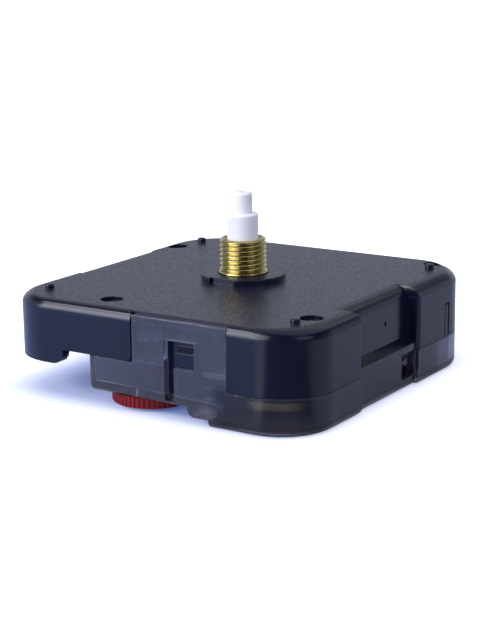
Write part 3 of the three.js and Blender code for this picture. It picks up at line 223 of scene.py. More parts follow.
# Bluish on the left: the painted navy sheen on the front wall.
# Painted reflection: the table's colour is set for what the movement's glossy sides mirror.
painted_sheen_mask = blend_range(towards(place, BLUISH_SIDE), 0.2, 0.8)
painted_reflection_colour = colour_mix(painted_sheen_mask, (0.5, 0.52, 0.66), (0.42, 0.52, 0.86))
from_corner = vector_node("SUBTRACT", place, NEAR_CORNER)[0]
# Dark towards the camera: the painted dark reflection on the near corner.
painted_dark_corner_mask = blend_range(towards(from_corner, CAMERA_SIDE), 0.68, 0.84)
painted_reflection_colour = colour_mix(painted_dark_corner_mask, painted_reflection_colour, (0.09, 0.1, 0.14))
# A narrow white stripe: the painted highlight beside the near corner.
painted_highlight_stripe = blend_range(towards(from_corner, STRIPE_SIDE), 0.986, 0.996)
painted_reflection_colour = colour_mix(painted_highlight_stripe, painted_reflection_colour, WHITE)
# Right beside the movement the table is pale blue instead: it deepens the painted shadow.
painted_reflection_zone = blend_range(square, 0.029, 0.042)
feed(cloth["Base Color"], colour_mix(painted_reflection_zone, (0.66, 0.68, 0.78), painted_reflection_colour))
table.data.materials.append(table_finish)
print("table:", TABLE_SIZE, "m wide")

# %% [markdown]
# The lamps
#
# A large soft lamp overhead does most of the work. A small one fills in the right side, a broad one
# at the front left lights the front wall, and a narrow strip above it lights the rounded top edges.
# Each lamp is given its place, what it faces and its size, in metres, and its power in watts.

# %% Hang the lamps
LAMPS = {
    "overhead": ((-0.08, 0.15, 0.6), (0, 0, 0), (1.0, 1.0), 1.9),
    "right_fill": ((0.5, -0.1, 0.3), (0, 0, 0), (0.3, 0.3), 0.25),
    "front_left": ((-0.16, -0.43, 0.22), (0, 0, 0.015), (0.42, 0.34), 1.8),
    "bevel_strip": ((-0.223, -0.343, 0.287), (0, 0, 0.015), (0.35, 0.07), 0.35),
}
for name, (place, target, size, power) in LAMPS.items():
    lamp_data = bpy.data.lights.new(name, "AREA")
    lamp_data.shape = "RECTANGLE"
    lamp_data.size, lamp_data.size_y = size
    lamp_data.energy = power
    lamp = bpy.data.objects.new(name, lamp_data)
    scene.collection.objects.link(lamp)
    facing = (Vector(target) - Vector(place)).to_track_quat("-Z", "Y")
    lamp.matrix_world = Matrix.Translation(place) @ facing.to_matrix().to_4x4()
print("lamps:", list(LAMPS))

# %% [markdown]
# Working by hand, in code
#
# Every new piece starts from a block or a drum that is added at its size and place, and is then
# shaped in edit mode. An operator works on whatever is selected, so each helper first selects one
# piece alone, and edges and faces are picked by where they lie. All sizes in the helpers are in
# millimetres.

# %% Pick one piece, and pick its points, edges and faces
def only(piece):
    """Leaves one piece selected and active."""
    bpy.ops.object.select_all(action="DESELECT")
    piece.select_set(True)
    bpy.context.view_layer.objects.active = piece


def pick(piece, kind, wanted):
    """Selects the vertices, edges or polygons of a piece that are wanted, and counts them."""
    only(piece)
    kinds = ("vertices", "edges", "polygons")
    for other in kinds:
        elements = getattr(piece.data, other)
        elements.foreach_set("select", [False] * len(elements))
    for element in getattr(piece.data, kind):
        element.select = wanted(element)
    bpy.context.tool_settings.mesh_select_mode = [kind == other for other in kinds]
    return sum(element.select for element in getattr(piece.data, kind))


def pick_edges(piece, wanted):
    """Selects the edges whose two ends, in mm, satisfy wanted."""
    points = [vertex.co / MM for vertex in piece.data.vertices]
    return pick(piece, "edges", lambda edge: wanted(*(points[i] for i in edge.vertices)))


def pick_faces(piece, wanted):
    """Selects the faces whose middle, in mm, and normal satisfy wanted."""
    return pick(piece, "polygons", lambda face: wanted(face.center / MM, face.normal))


def pick_points(piece, wanted):
    """Selects the points that satisfy wanted, in mm."""
    return pick(piece, "vertices", lambda vertex: wanted(vertex.co / MM))


# %% Run an operator in edit mode, or a modifier
def in_edit_mode(operator, **settings):
    bpy.ops.object.mode_set(mode="EDIT")
    operator(**settings)
    bpy.ops.object.mode_set(mode="OBJECT")


def on_everything(piece, operator, **settings):
    """Runs an operator on all points of a piece."""
    pick_points(piece, lambda point: True)
    in_edit_mode(operator, **settings)


def modify(piece, kind, **settings):
    """Adds a modifier, makes its settings and applies it."""
    only(piece)
    step = piece.modifiers.new(kind.lower(), kind)
    for label, value in settings.items():
        setattr(step, label, value)
    bpy.ops.object.modifier_apply(modifier=step.name)


# %% Where an edge lies
TOLERANCE = 0.01


def same(value, target):
    return abs(value - target) < TOLERANCE


def edges_at(along="", **places):
    """Edges with both ends at the given x, y or z, and along an axis where one is named."""
    def wanted(a, b):
        there = all(same(getattr(end, axis), at) for end in (a, b) for axis, at in places.items())
        others = [axis for axis in "xyz" if along and axis != along]
        return there and all(same(getattr(a, axis), getattr(b, axis)) for axis in others)
    return wanted


def upright_at(*places):
    """Edges that stand at one of the given X and Y."""
    return lambda a, b: any(edges_at(x=x, y=y)(a, b) for x, y in places)


def corners_of(x, y):
    return [(i, j) for i in x for j in y]


def spread(span, margin):
    """A pair of distances moved apart by a margin at each end."""
    return span[0] - margin, span[1] + margin


def about(middle, margin):
    return middle - margin, middle + margin


# %% Blocks and drums
def say(piece, step):
    """Prints what was done to a piece and how many faces it has."""
    print(piece.name, step + ":", len(piece.data.polygons), "faces")


def settle(piece, name):
    """Names a new piece and moves its place, turn and size into its mesh."""
    piece.name = name
    only(piece)
    bpy.ops.object.transform_apply(location=True, rotation=True, scale=True)
    return piece


def block(name, x, y, z):
    """A block between pairs of distances along X, Y and Z."""
    bpy.ops.mesh.primitive_cube_add(size=1, location=[(a + b) / 2 * MM for a, b in (x, y, z)])
    piece = bpy.context.object
    piece.scale = [(b - a) * MM for a, b in (x, y, z)]
    return settle(piece, name)


def drum(name, radius, ends, at=(0, 0), along="Z", sides=64):
    """A drum between two heights, or one that lies along Y or X at the given place across it."""
    place = list(at)
    place.insert("XYZ".index(along), (ends[0] + ends[1]) / 2)
    turn = {"Z": (0, 0, 0), "Y": (math.pi / 2, 0, 0), "X": (0, math.pi / 2, 0)}[along]
    bpy.ops.mesh.primitive_cylinder_add(
        vertices=sides,
        radius=radius * MM,
        depth=(ends[1] - ends[0]) * MM,
        location=[c * MM for c in place],
        rotation=turn,
    )
    return settle(bpy.context.object, name)


# %% Round, join and cut
def round_edges(piece, radius, wanted, segments=6):
    if pick_edges(piece, wanted):
        in_edit_mode(bpy.ops.mesh.bevel, offset=radius * MM, segments=segments, affect="EDGES")
    return piece


def combine(piece, operation, tools):
    """Joins tools to a piece, cuts them from it or keeps what they share, and uses them up."""
    for tool in tools:
        modify(piece, "BOOLEAN", operation=operation, solver="EXACT", object=tool)
        bpy.data.objects.remove(tool)
    return piece


def cut(piece, *tools):
    return combine(piece, "DIFFERENCE", tools)


def join(piece, *parts):
    return combine(piece, "UNION", parts)


# %% Rounded blocks, rows of drums and pivot seats
def rounded_block(name, x, y, z, radius, segments=12):
    """A block with its four upright edges rounded."""
    return round_edges(block(name, x, y, z), radius, upright_at(*corners_of(x, y)), segments)


def drums(name, radius, ends, places):
    return [drum(name, radius, ends, at, sides=32) for at in places]


def pivot_seats(piece, ends, bore, bore_ends, places, bore_sides=32):
    """Joins bosses to a piece and bores them for the pivots of the wheels."""
    for at in places:
        join(piece, drum("pivot_seat", 1.2, ends, at, sides=32))
        cut(piece, drum("pivot_bore", bore, bore_ends, at, sides=bore_sides))


# %% [markdown]
# Drawn-in edges and turned pieces
#
# The top edge of the case is flatter on the long sides than on the front and back, so it isn't a
# plain round. It is made as a draughtsman would draw it: the end face is pushed out step by step
# along a quarter of an ellipse. Each step insets it evenly, and then narrows it a little more along
# X. Turned pieces, such as the shafts, start as one upright line of points that is spun round the
# axis.

# %% Draw in an end face, and flare a cutting block to match
def quarter_steps(count=8):
    """The shares drawn in and risen, before and after each step of a quarter round."""
    angles = [math.pi / 2 * k / count for k in range(count + 1)]
    shares = [(1 - math.cos(a), math.sin(a)) for a in angles]
    return zip(shares, shares[1:])


def draw_in(piece, face_z, by_x, by_y, height, centre_x=0, half_x=28):
    """Rounds off the end face at face_z, drawn in by by_y along Y and by by_x along X."""
    pick_faces(piece, lambda middle, normal: same(middle.z, face_z))
    bpy.ops.object.mode_set(mode="EDIT")
    for (share, rise), (next_share, next_rise) in quarter_steps():
        inset = by_y * (next_share - share)
        bpy.ops.mesh.inset(thickness=inset * MM, depth=height * (next_rise - rise) * MM)
        narrow = (half_x - by_x * next_share) / (half_x - by_x * share - inset)
        bpy.ops.transform.resize(value=(narrow, 1, 1), center_override=(centre_x * MM, 0, 0))
    bpy.ops.object.mode_set(mode="OBJECT")


def flared_cutter(face_x, outer_x, y, z, by_x, by_y, height):
    """A cutting block for a recess in a side, which spreads as the edge at z[1] is drawn in."""
    cutter = block("cutter", sorted((face_x, outer_x)), y, sorted(z))
    up = 1 if z[1] > z[0] else -1
    centre = (outer_x * MM, (y[0] + y[1]) / 2 * MM, 0)
    depth, width = abs(outer_x - face_x), (y[1] - y[0]) / 2
    pick_faces(cutter, lambda middle, normal: same(middle.z, z[1]))
    bpy.ops.object.mode_set(mode="EDIT")
    for (share, rise), (next_share, next_rise) in quarter_steps():
        step = up * height * (next_rise - rise) * MM
        bpy.ops.mesh.extrude_region_move(TRANSFORM_OT_translate={"value": (0, 0, step)})
        spread_x = (depth + by_x * next_share) / (depth + by_x * share)
        spread_y = (width + by_y * next_share) / (width + by_y * share)
        bpy.ops.transform.resize(value=(spread_x, spread_y, 1), center_override=centre)
    bpy.ops.mesh.extrude_region_move(TRANSFORM_OT_translate={"value": (0, 0, up * 2 * MM)})
    bpy.ops.object.mode_set(mode="OBJECT")
    return cutter


# %% Turn a piece from its profile
def line_of_points(name, points):
    """An open line through [x, z] points, drawn by extruding one point."""
    bpy.ops.mesh.primitive_plane_add(size=1 * MM)
    piece = bpy.context.object
    on_everything(piece, bpy.ops.mesh.merge, type="CENTER")
    piece.data.vertices[0].co = (points[0][0] * MM, 0, points[0][1] * MM)
    piece.data.vertices[0].select = True
    bpy.ops.object.mode_set(mode="EDIT")
    for (x, z), (next_x, next_z) in zip(points, points[1:]):
        move = ((next_x - x) * MM, 0, (next_z - z) * MM)
        bpy.ops.mesh.extrude_region_move(TRANSFORM_OT_translate={"value": move})
    bpy.ops.object.mode_set(mode="OBJECT")
    return settle(piece, name)


def close_up(piece):
    """Merges doubled points and turns every face outwards."""
    on_everything(piece, bpy.ops.mesh.remove_doubles, threshold=0.001 * MM)
    on_everything(piece, bpy.ops.mesh.normals_make_consistent, inside=False)
    return piece


def turned(name, profile, at=(0, 0), sides=64):
    """A solid turned from [radius, height] points about an upright axis."""
    piece = line_of_points(name, profile)
    full_turn = {"steps": sides, "angle": 2 * math.pi, "center": (0, 0, 0), "axis": (0, 0, 1)}
    on_everything(piece, bpy.ops.mesh.spin, **full_turn)
    close_up(piece)
    piece.location = (at[0] * MM, at[1] * MM, 0)
    return settle(piece, name)


def quarter(centre, radius, start, steps=5):
    """Points of a quarter round about centre, from the start angle in degrees, turning left."""
    angles = [math.radians(start + 90 * k / steps) for k in range(steps + 1)]
    return [(centre[0] + radius * math.cos(a), centre[1] + radius * math.sin(a)) for a in angles]


# %% Hand a finished piece over
handed_over = []


def hand_over(piece, slot, node, body="case", angle=30):
    """Shades a finished piece, puts it on its body and lets it stand for its CAD node."""
    only(piece)
    bpy.ops.object.shade_smooth_by_angle(angle=math.radians(angle))
    modify(piece, "WEIGHTED_NORMAL", keep_sharp=True)
    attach(piece, body)
    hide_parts(node)
    handed_over.append((piece, slot))
    say(piece, "handed over")


# %% [markdown]
# The housing
#
# The housing is one grey moulding: the dial plate with the walls round it. It starts as a block
# whose upright edges are rounded, and its top edge is then drawn in. Two recesses are cut from its
# sides: a deep one on the right for a finger or a screwdriver, and a shallow one on the battery
# side.

# %% Shape the outside of the housing
case_low, case_high = (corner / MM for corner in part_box("front_housing"))
HALF = case_high.x
CASE_TOP = 16.2
CORNER = 8.8
WALL = 1.5
SEAM = 6.02
PLATE_UNDER = 14.8
TOP_ROUND = {"by_x": 2.8, "by_y": 1.15, "height": 1.9}
RECESS = {"x": 26.0, "near": -10.4, "far": 8.0, "panel_bottom": 8.0}
BACK_RECESS = {"depth": 0.5, "y": (-9.0, 11.6)}

round_start = CASE_TOP - TOP_ROUND["height"]
side = (-HALF, HALF)
recess_y = (RECESS["near"], RECESS["far"])
under_round = (SEAM - 1, round_start)
housing = rounded_block("housing", side, side, (SEAM, round_start), CORNER, segments=16)
draw_in(housing, round_start, **TOP_ROUND)
finger_recess = flared_cutter(RECESS["x"], HALF + 4, recess_y, under_round, **TOP_ROUND)
pick_points(finger_recess, lambda point: point.y > RECESS["far"] + 0.02)
squeeze = {"value": (1, 0.2, 1), "center_override": (0, RECESS["far"] * MM, 0)}
in_edit_mode(bpy.ops.transform.resize, **squeeze)
back_recess = flared_cutter(
    -HALF + BACK_RECESS["depth"], -HALF - 4, BACK_RECESS["y"], under_round, **TOP_ROUND
)
cut(housing, finger_recess, back_recess)
for recess_end, radius in ((RECESS["near"], 1.0), (RECESS["far"], 0.7)):
    round_edges(housing, radius, upright_at((HALF, recess_end)))
print("case from", [round(c, 2) for c in case_low], "to", [round(c, 2) for c in case_high])

# %% [markdown]
# Inside the housing
#
# The walls are 1.5 mm thick all round, so that the moulding cools evenly. The wall follows the
# finger recess inside too. Under the front and back wall the battery bay is open, and the wall
# steps up there to let the cell in. A partition and three curved ribs hold the cell, and pillars
# reach down to the bridge that carries the wheels.

# %% Hollow the housing and add what stands inside
BAY = {"right": -11.1, "partition": -9.6, "wall_bottom": 8.4, "lobe": -15.5}
CELL = {"x": -18.55, "z": 7.55, "radius": 7.35, "half_length": 24.5}
INTO_PLATE = 15
RIB_BOTTOM = 13.2
KNOB_AT = (-3.6, -20.5)

inside = spread(side, -WALL)
hollow = rounded_block("hollow", inside, inside, (SEAM - 2, PLATE_UNDER), CORNER - WALL)
panel_x = (RECESS["x"] - WALL, HALF + 1)
cut(hollow, block("panel_wall", panel_x, spread(recess_y, WALL), (SEAM - 3, CASE_TOP)))
cut(housing, hollow)
partition_x, rib_x = (BAY["right"], BAY["partition"]), (-HALF + 1, BAY["right"] + 0.5)
partition = block("partition", partition_x, spread(side, -1), (BAY["wall_bottom"], INTO_PLATE))
ribs = [block("rib", rib_x, about(y, 0.5), (RIB_BOTTOM, INTO_PLATE)) for y in (-16, 0, 16)]
pillars_at = ((23.5, -18), (22.2, 24.8), (-6.5, 22), (-8.4, -12.6))
join(housing, partition, *ribs, *drums("pillar", 1.5, (8.4, INTO_PLATE), pillars_at))
cell_ends = (-CELL["half_length"], CELL["half_length"])
cell_bed = drum("cell_bed", CELL["radius"], cell_ends, (CELL["x"], CELL["z"]), along="Y", sides=96)
cut(housing, cell_bed)
pivot_seats(housing, (14.2, INTO_PLATE), 0.55, (14, 15.3), ((1.24, -9.52), KNOB_AT))
say(housing, "hollowed")

# %% Open the walls
TAB = {"left": -2.0, "right": 14.9, "left_gap": 0.3, "right_gap": 0.1, "seat": 0.9}
BELOW = SEAM - 2
FRONT = (-HALF - 1, -HALF + WALL + 0.1)
BACK = (-FRONT[1], -FRONT[0])

tab_sides = (TAB["left"] - TAB["left_gap"], TAB["right"] + TAB["right_gap"])
openings = (
    ("panel_foot", (RECESS["x"] - 2.5, HALF + 1), recess_y, RECESS["panel_bottom"]),
    ("tab_opening", spread((TAB["left"], TAB["right"]), 0.05), FRONT, PLATE_UNDER),
    ("tab_seat", tab_sides, (-HALF - 1, -HALF + TAB["seat"]), CASE_TOP + 2),
    ("bay_front", (BAY["lobe"], TAB["left"]), FRONT, BAY["wall_bottom"]),
    ("bay_back", (BAY["lobe"], -9.28), BACK, BAY["wall_bottom"]),
)
cut(housing, *[block(name, x, y, (BELOW, height)) for name, x, y, height in openings])
say(housing, "opened")


# %% Add the tongue behind the seam and the ramp at the foot of the finger recess
def across_wall_at(x, z):
    """Edges that run through the front or back wall at one X and height."""
    return lambda a, b: edges_at(x=x, z=z)(a, b) and abs(a.y - b.y) > 0.5


TONGUE_INSET = 1.25
RAMP = {"back": 24.6, "foot": 27.38, "bottom": 7.1, "top": 8.2}

within = spread(side, -TONGUE_INSET)
past_seam = about(SEAM, 2)
tongue = rounded_block("tongue", within, within, (SEAM - 0.9, SEAM + 0.1), CORNER - TONGUE_INSET)
tongue_hole = rounded_block("tongue_hole", inside, inside, past_seam, CORNER - WALL)
off_bay = block("off_bay", (-HALF, -8), side, past_seam)
off_tab = block("off_tab", (-9, TAB["right"] + 0.3), (-HALF, 0), past_seam)
off_recess = block("off_recess", (20, HALF), spread(recess_y, 1.4), past_seam)
cut(tongue, tongue_hole, off_bay, off_tab, off_recess)
ramp = block("ramp", (RAMP["back"], RAMP["foot"]), recess_y, (RAMP["bottom"], RAMP["top"]))
pick_points(ramp, lambda point: same(point.x, RAMP["foot"]) and same(point.z, RAMP["top"]))
in_edit_mode(bpy.ops.transform.translate, value=((RECESS["x"] - RAMP["foot"]) * MM, 0, 0))
join(housing, tongue, ramp)
round_edges(housing, 2, across_wall_at(BAY["lobe"], SEAM), segments=8)
round_edges(housing, 1, across_wall_at(tab_sides[0], BAY["wall_bottom"]))
say(housing, "tongue and ramp added")

# %% [markdown]
# The dial face
#
# The dial lies on the plate. A raised disc with a notch centres it, four small pins keep it from
# turning, and four sunk stakes were melted over to hold the gear bridge inside. The hook in the
# front wall catches the window of the cover's tab. Two marks of the moulding are kept on the right
# side: the gate where the plastic ran in, and a narrow slot.

# %% Add the disc, the pins and the stakes
DISC_TOP, PIN_TOP, STAKE_TOP = CASE_TOP + 1, CASE_TOP + 0.7, CASE_TOP - 0.38

disc = drum("disc", 6.93, (CASE_TOP - 0.3, DISC_TOP), sides=128)
round_edges(disc, 0.15, edges_at(z=DISC_TOP), segments=2)
cut(disc, block("notch", (-2.25, 2.25), (-8, -5.95), (CASE_TOP, CASE_TOP + 2)))
pins = drums("pin", 0.75, (CASE_TOP - 0.3, PIN_TOP), corners_of((-22.9, 22.9), (-21.6, 21.6)))
for pin in pins:
    round_edges(pin, 0.25, edges_at(z=PIN_TOP), segments=3)
join(housing, disc, *pins)
for stake_at in ((23.5, -18), (22.2, 24.8), (-24.3, 15.9), (-9.5, -22.9)):
    cut(housing, drum("stake_hole", 1.8, (CASE_TOP - 0.7, CASE_TOP + 2), stake_at, sides=48))
    stake = drum("stake", 0.75, (CASE_TOP - 1, STAKE_TOP), stake_at, sides=32)
    join(housing, round_edges(stake, 0.25, edges_at(z=STAKE_TOP), segments=4))
cut(housing, drum("bushing_hole", 4.1, (10, 20), sides=96))
say(housing, "dial face made")

# %% Add the hook and the marks, and hand the housing over
HOOK = {"tip": -27.55, "top": 11.7}

hook_arm = block("hook_arm", (3.1, 10.0), (-26.65, -25.95), (4.2, INTO_PLATE))
hook_nose = block("hook_nose", (5.8, 9.1), (HOOK["tip"], -26.5), (8.55, HOOK["top"]))
round_edges(hook_nose, 0.95, edges_at(y=HOOK["tip"], z=HOOK["top"]), segments=1)
join(housing, hook_arm, hook_nose)
gate = drum("gate", 0.35, (RECESS["x"] - 0.4, HALF), (0.4, 11.6), along="X", sides=24)
slot = block("slot", (HALF - 0.3, HALF + 1), (17.2, 18.8), (BELOW, 11.6))
cut(housing, gate, slot)
join(housing, block("slot_island", (HALF - 0.4, HALF - 0.03), (17.5, 18.5), (SEAM, 11.3)))
hand_over(housing, "grey_plastic", "front_housing")

# %% [markdown]
# The rear cover
#
# The cover is a shallow pan in smoky clear plastic. Through it the board and the wheels show dimly.
# Its left part is raised to leave room for the setting knob, and the pan's wall along the bay ends
# there. It is modelled like the housing, from a block with rounded corners whose bottom edge is
# drawn in.

# %% Shape the pan
COVER = {
    "left": -11.0, "wall": 1.2, "floor": 1.2, "round": 1.3,
    "seam": 5.9, "bay_wall": 8.28, "top": 15.7,
}
POCKET = {"right": 11.6, "far": -13.0, "height": 2.8}

cover = block("cover", (COVER["left"], HALF), side, (COVER["round"], COVER["top"]))
for wall_x, radius, segments in ((HALF, CORNER, 16), (COVER["left"], 1.5, 6)):
    round_edges(cover, radius, upright_at(*corners_of((wall_x,), side)), segments)
cover_middle = (COVER["left"] + HALF) / 2
bottom_round = {"by_x": COVER["round"], "by_y": COVER["round"], "height": COVER["round"]}
draw_in(cover, COVER["round"], **bottom_round, centre_x=cover_middle, half_x=HALF - cover_middle)
lug_face = HALF - 0.6
down_to_round = (COVER["top"] + 1, COVER["round"])
cut(cover, flared_cutter(lug_face, HALF + 2, recess_y, down_to_round, **bottom_round))
say(cover, "pan shaped")

# %% Hollow the pan and raise its floor over the knob
within_x = spread((COVER["left"], HALF), -COVER["wall"])
within_y = spread(side, -COVER["wall"])
raised_floor = POCKET["height"] + COVER["floor"]
pan_hollow = block("pan_hollow", within_x, within_y, (COVER["floor"], COVER["top"] + 2))
pan_corners = upright_at(*corners_of(within_x[1:], within_y))
round_edges(pan_hollow, CORNER - COVER["wall"], pan_corners, segments=12)
lug_x = (lug_face - COVER["wall"], HALF)
lug_wall = block("lug_wall", lug_x, spread(recess_y, COVER["wall"]), (0, COVER["seam"] + 3))
pocket_x, pocket_y = (COVER["left"] - 1, POCKET["right"]), (-HALF - 1, POCKET["far"])
roof_x, roof_y = ((low, high + COVER["wall"]) for low, high in (pocket_x, pocket_y))
cut(pan_hollow, lug_wall, block("pocket_roof", roof_x, roof_y, (0, raised_floor)))
round_edges(pan_hollow, 0.5, edges_at(z=COVER["floor"]), segments=3)
round_edges(pan_hollow, 0.45, edges_at(z=raised_floor), segments=3)
cut(cover, pan_hollow)

pocket = block("pocket", pocket_x, pocket_y, (-1, POCKET["height"]))
round_edges(pocket, 1.5, upright_at((POCKET["right"], POCKET["far"])))
foot = block("foot", (7.8, 13), (-HALF - 2, -24), (1.3, 4))
cut(pocket, round_edges(foot, 1.4, edges_at(x=7.8, z=1.3)))
cut(cover, pocket)
round_edges(cover, 0.9, edges_at(x=POCKET["right"], z=0), segments=5)
say(cover, "hollowed")


# %% Bevel the raised floor's edges over the knob
def raised_edge(a, b):
    """The pocket's lower edge along the front wall and along the bay."""
    along_front = edges_at(y=-HALF)(a, b) and max(a.x, b.x) < 7.9
    along_bay = edges_at(x=COVER["left"])(a, b) and max(a.y, b.y) < POCKET["far"] + 0.1
    at_corner = max(a.x, b.x) < COVER["left"] + 1.6 and max(a.y, b.y) < -HALF + 1.6
    return edges_at(z=POCKET["height"])(a, b) and (along_front or along_bay or at_corner)


round_edges(cover, 0.8, raised_edge, segments=3)
say(cover, "bevelled")

# %% [markdown]
# What stands up from the pan
#
# The block was taken as high as the snap tab, so the walls are now trimmed: to the seam where the
# housing stands on them, and higher along the bay and the front, where they close the gap under the
# housing's stepped wall. Only the tab keeps the full height, with a thinner lip at its top.

# %% Trim the walls round the tab
TAB_LIP = 14.65
FULL = spread(side, 1)
INSIDE_FRONT = (-HALF + COVER["wall"] + 0.4, HALF + 1)
ABOVE_COVER = 17

trims = (
    ((TAB["right"], HALF + 1), FULL, COVER["seam"]),
    ((-9.4, TAB["right"] + 1), INSIDE_FRONT, COVER["seam"]),
    ((COVER["left"] - 1, TAB["left"]), FULL, COVER["bay_wall"]),
    (FULL, (-HALF + 0.75, -HALF + 3), TAB_LIP),
)
cut(cover, *[block("trim", x, y, (bottom, ABOVE_COVER)) for x, y, bottom in trims])
round_edges(cover, 0.2, edges_at(y=-HALF, z=COVER["top"]), segments=2)
lug_z = (COVER["seam"] - 0.2, 7.05)
join(cover, block("lug", (lug_face - 1.2, lug_face), spread(recess_y, -0.1), lug_z))
say(cover, "trimmed")

# %% Cut the window, the slits and the notches
through = (-HALF - 1, -HALF + 1.3)
window = block("window", (3.8, 9.3), through, (8.4, 12.6))
long_slit = block("long_slit", (3.8, 5.6), through, (3.1, 12.6))
lug_slot = block("lug_slot", (25.2, 29), (3.3, 7.4), (1.9, 6))
round_edges(lug_slot, 0.3, edges_at("x"), segments=3)
stem_hole = drum("stem_hole", 1.28, (-1, 5), KNOB_AT, sides=48)
strip_notch = block("strip_notch", (-12, -9), (25.6, 26.1), (4.7, 8.5))
lead_notch = block("lead_notch", (-12, -9), (-25.8, -24.7), (7.9, 8.5))
cut(cover, window, long_slit, lug_slot, stem_hole, strip_notch, lead_notch)
say(cover, "cut")

# %% Add the seats and posts inside, and hand the cover over
wheels_at = ((0, 0), (9, 0), (13.85, 2.8), (0, 9))
pivot_seats(cover, (1, 1.7), 0.35, (0.7, 3), wheels_at, bore_sides=24)
posts = drums("post", 1.2, (1, 7.3), ((-7.59, -9.6), (-6.5, 22), (12.0, 20.5), (9.49, -13.5)))
board_posts = drums("board_post", 1.0, (1, 4.3), ((14.8, -15.2), (23.6, -15.2)))
join(cover, *posts, *board_posts)
hand_over(cover, "smoke_plastic", "rear_cover")

# %% [markdown]
# The threaded bushing
#
# A nut on this brass bushing clamps the movement behind the dial. The thread is a fine one for an 8
# mm nut, with a pitch of 0.75 mm. It is rolled, so its crests are rounded and a little under 8 mm.
# One tooth of the thread is drawn as a line and turned with the Screw modifier, which lifts it by
# one pitch for every turn. It is made too long and closed, and what it shares with a chamfered drum
# is kept: that cuts both ends level and takes the sharp first turn away.

# %% Roll the thread
BUSHING = {"radius": 3.82, "root": 3.42, "pitch": 0.75, "low": 17.1, "top": 22.9, "bore": 2.58}
THREAD_TURNS = 12


def thread_tooth(start, points=10):
    """One pitch of the thread's outline, from root over the crest to root."""
    depth, pitch = BUSHING["radius"] - BUSHING["root"], BUSHING["pitch"]
    rise = [(1 - math.cos(2 * math.pi * k / points)) / 2 for k in range(points + 1)]
    root = BUSHING["root"]
    return [(root + depth * r ** 0.8, start + pitch * k / points) for k, r in enumerate(rise)]


bushing = line_of_points("bushing", thread_tooth(BUSHING["low"] - 2 * BUSHING["pitch"]))
climb = {"screw_offset": BUSHING["pitch"] * MM, "iterations": THREAD_TURNS, "steps": 96}
modify(bushing, "SCREW", axis="Z", angle=2 * math.pi, **climb)
close_up(bushing)
on_everything(bushing, bpy.ops.mesh.fill_holes, sides=0)
close_up(bushing)
say(bushing, "rolled")

# %% Chamfer the bushing, add its foot and flange, and bore it
low, top = BUSHING["low"], BUSHING["top"]
ends = [(0, low), (4.6, low), (4.6, top - 0.75), (3.84, top - 0.3), (3.55, top), (0, top)]
combine(bushing, "INTERSECT", [turned("ends", ends, sides=96)])
foot_profile = [
    (0, 13.9), (5.6, 13.9), (5.6, 14.7), (3.9, 14.7), (3.9, 17.2), (3.97, 17.22), (4.0, 17.3),
    (4.0, 17.4), (3.96, 17.5), (3.85, 17.58), (3.4, 17.65), (0, 17.65),
]
join(bushing, turned("foot", foot_profile, sides=96))
bore = drum("bore", BUSHING["bore"], (13, 24), sides=96)
sink_profile = [(0, 22), (2.5, 22), (3.36, 22.95), (3.36, 24), (0, 24)]
cut(bushing, bore, turned("countersink", sink_profile, sides=96))
hand_over(bushing, "brass", "threaded_bushing", angle=40)

# %% [markdown]
# Gears on a drum
#
# The gears of the shafts are moulded with them. A gear starts as a drum with two sides for each
# tooth. Every second side is inset by itself and pushed out, which makes a tooth with slanted
# flanks.

# %% Raise teeth on a drum
def gear(name, teeth, root, tip, z, at=(0, 0), phase=0.0, tip_share=0.22):
    """A gear whose teeth stand at phase, from the root radius to the tip radius."""
    first_side = math.pi / 2 - math.pi / (2 * teeth)
    piece = drum(name, root, z, sides=2 * teeth)
    piece.rotation_euler.z = phase - first_side
    settle(piece, name)

    def is_tooth(middle, normal):
        angle = math.atan2(middle.y, middle.x) - phase
        return abs(normal.z) < 0.1 and math.cos(teeth * angle) > 0

    flank = (math.pi * root / teeth) * (0.5 - tip_share) * MM
    pick_faces(piece, is_tooth)
    height = (tip - root) * MM
    in_edit_mode(bpy.ops.mesh.inset, thickness=flank, depth=height, use_individual=True)
    piece.location = (at[0] * MM, at[1] * MM, 0)
    return settle(piece, name)


def mesh_phase(teeth, other_teeth, direction):
    """The angle that puts the teeth of a gear into the gaps of one that stands at phase 0."""
    place = teeth * direction / (2 * math.pi)
    return direction + math.pi - (2 * math.pi / other_teeth) * (1 / 2 - place)


# %% [markdown]
# The hand shafts
#
# The hour tube and the minute shaft are white mouldings that carry the hands, so their upper parts
# are plain and smooth, with small rounds at the tops. They are turned from their profiles. Inside
# the case the hour tube ends in its wheel, and the minute shaft carries a small pinion under it.

# %% Mould the hour tube and the minute shaft
MINUTE_WHEEL_DIRECTION = math.radians(-82.576)
WEB_HOLE_CIRCLE = 4.76

hour_phase = mesh_phase(10, 40, MINUTE_WHEEL_DIRECTION + math.pi)
hour_tube = gear("hour_tube", 40, 7.24, 8.02, (12.75, 13.55), phase=hour_phase)
tube_profile = [
    (0, 12.8), (3.4, 12.8), (3.4, 13.75), (2.52, 13.75),
    (2.52, 26.5), *quarter((2.07, 26.55), 0.45, 0), (0, 27.0),
]
join(hour_tube, turned("tube", tube_profile, sides=96))
web_angles = [hour_phase + 2 * math.pi * k / 3 for k in range(3)]
web_at = [(WEB_HOLE_CIRCLE * math.cos(a), WEB_HOLE_CIRCLE * math.sin(a)) for a in web_angles]
web_holes = drums("web_hole", 1.15, (12, 14), web_at)
cut(hour_tube, drum("tube_bore", 1.68, (12, 28), sides=64), *web_holes)
hand_over(hour_tube, "white_plastic", "hour_wheel", body="hour")

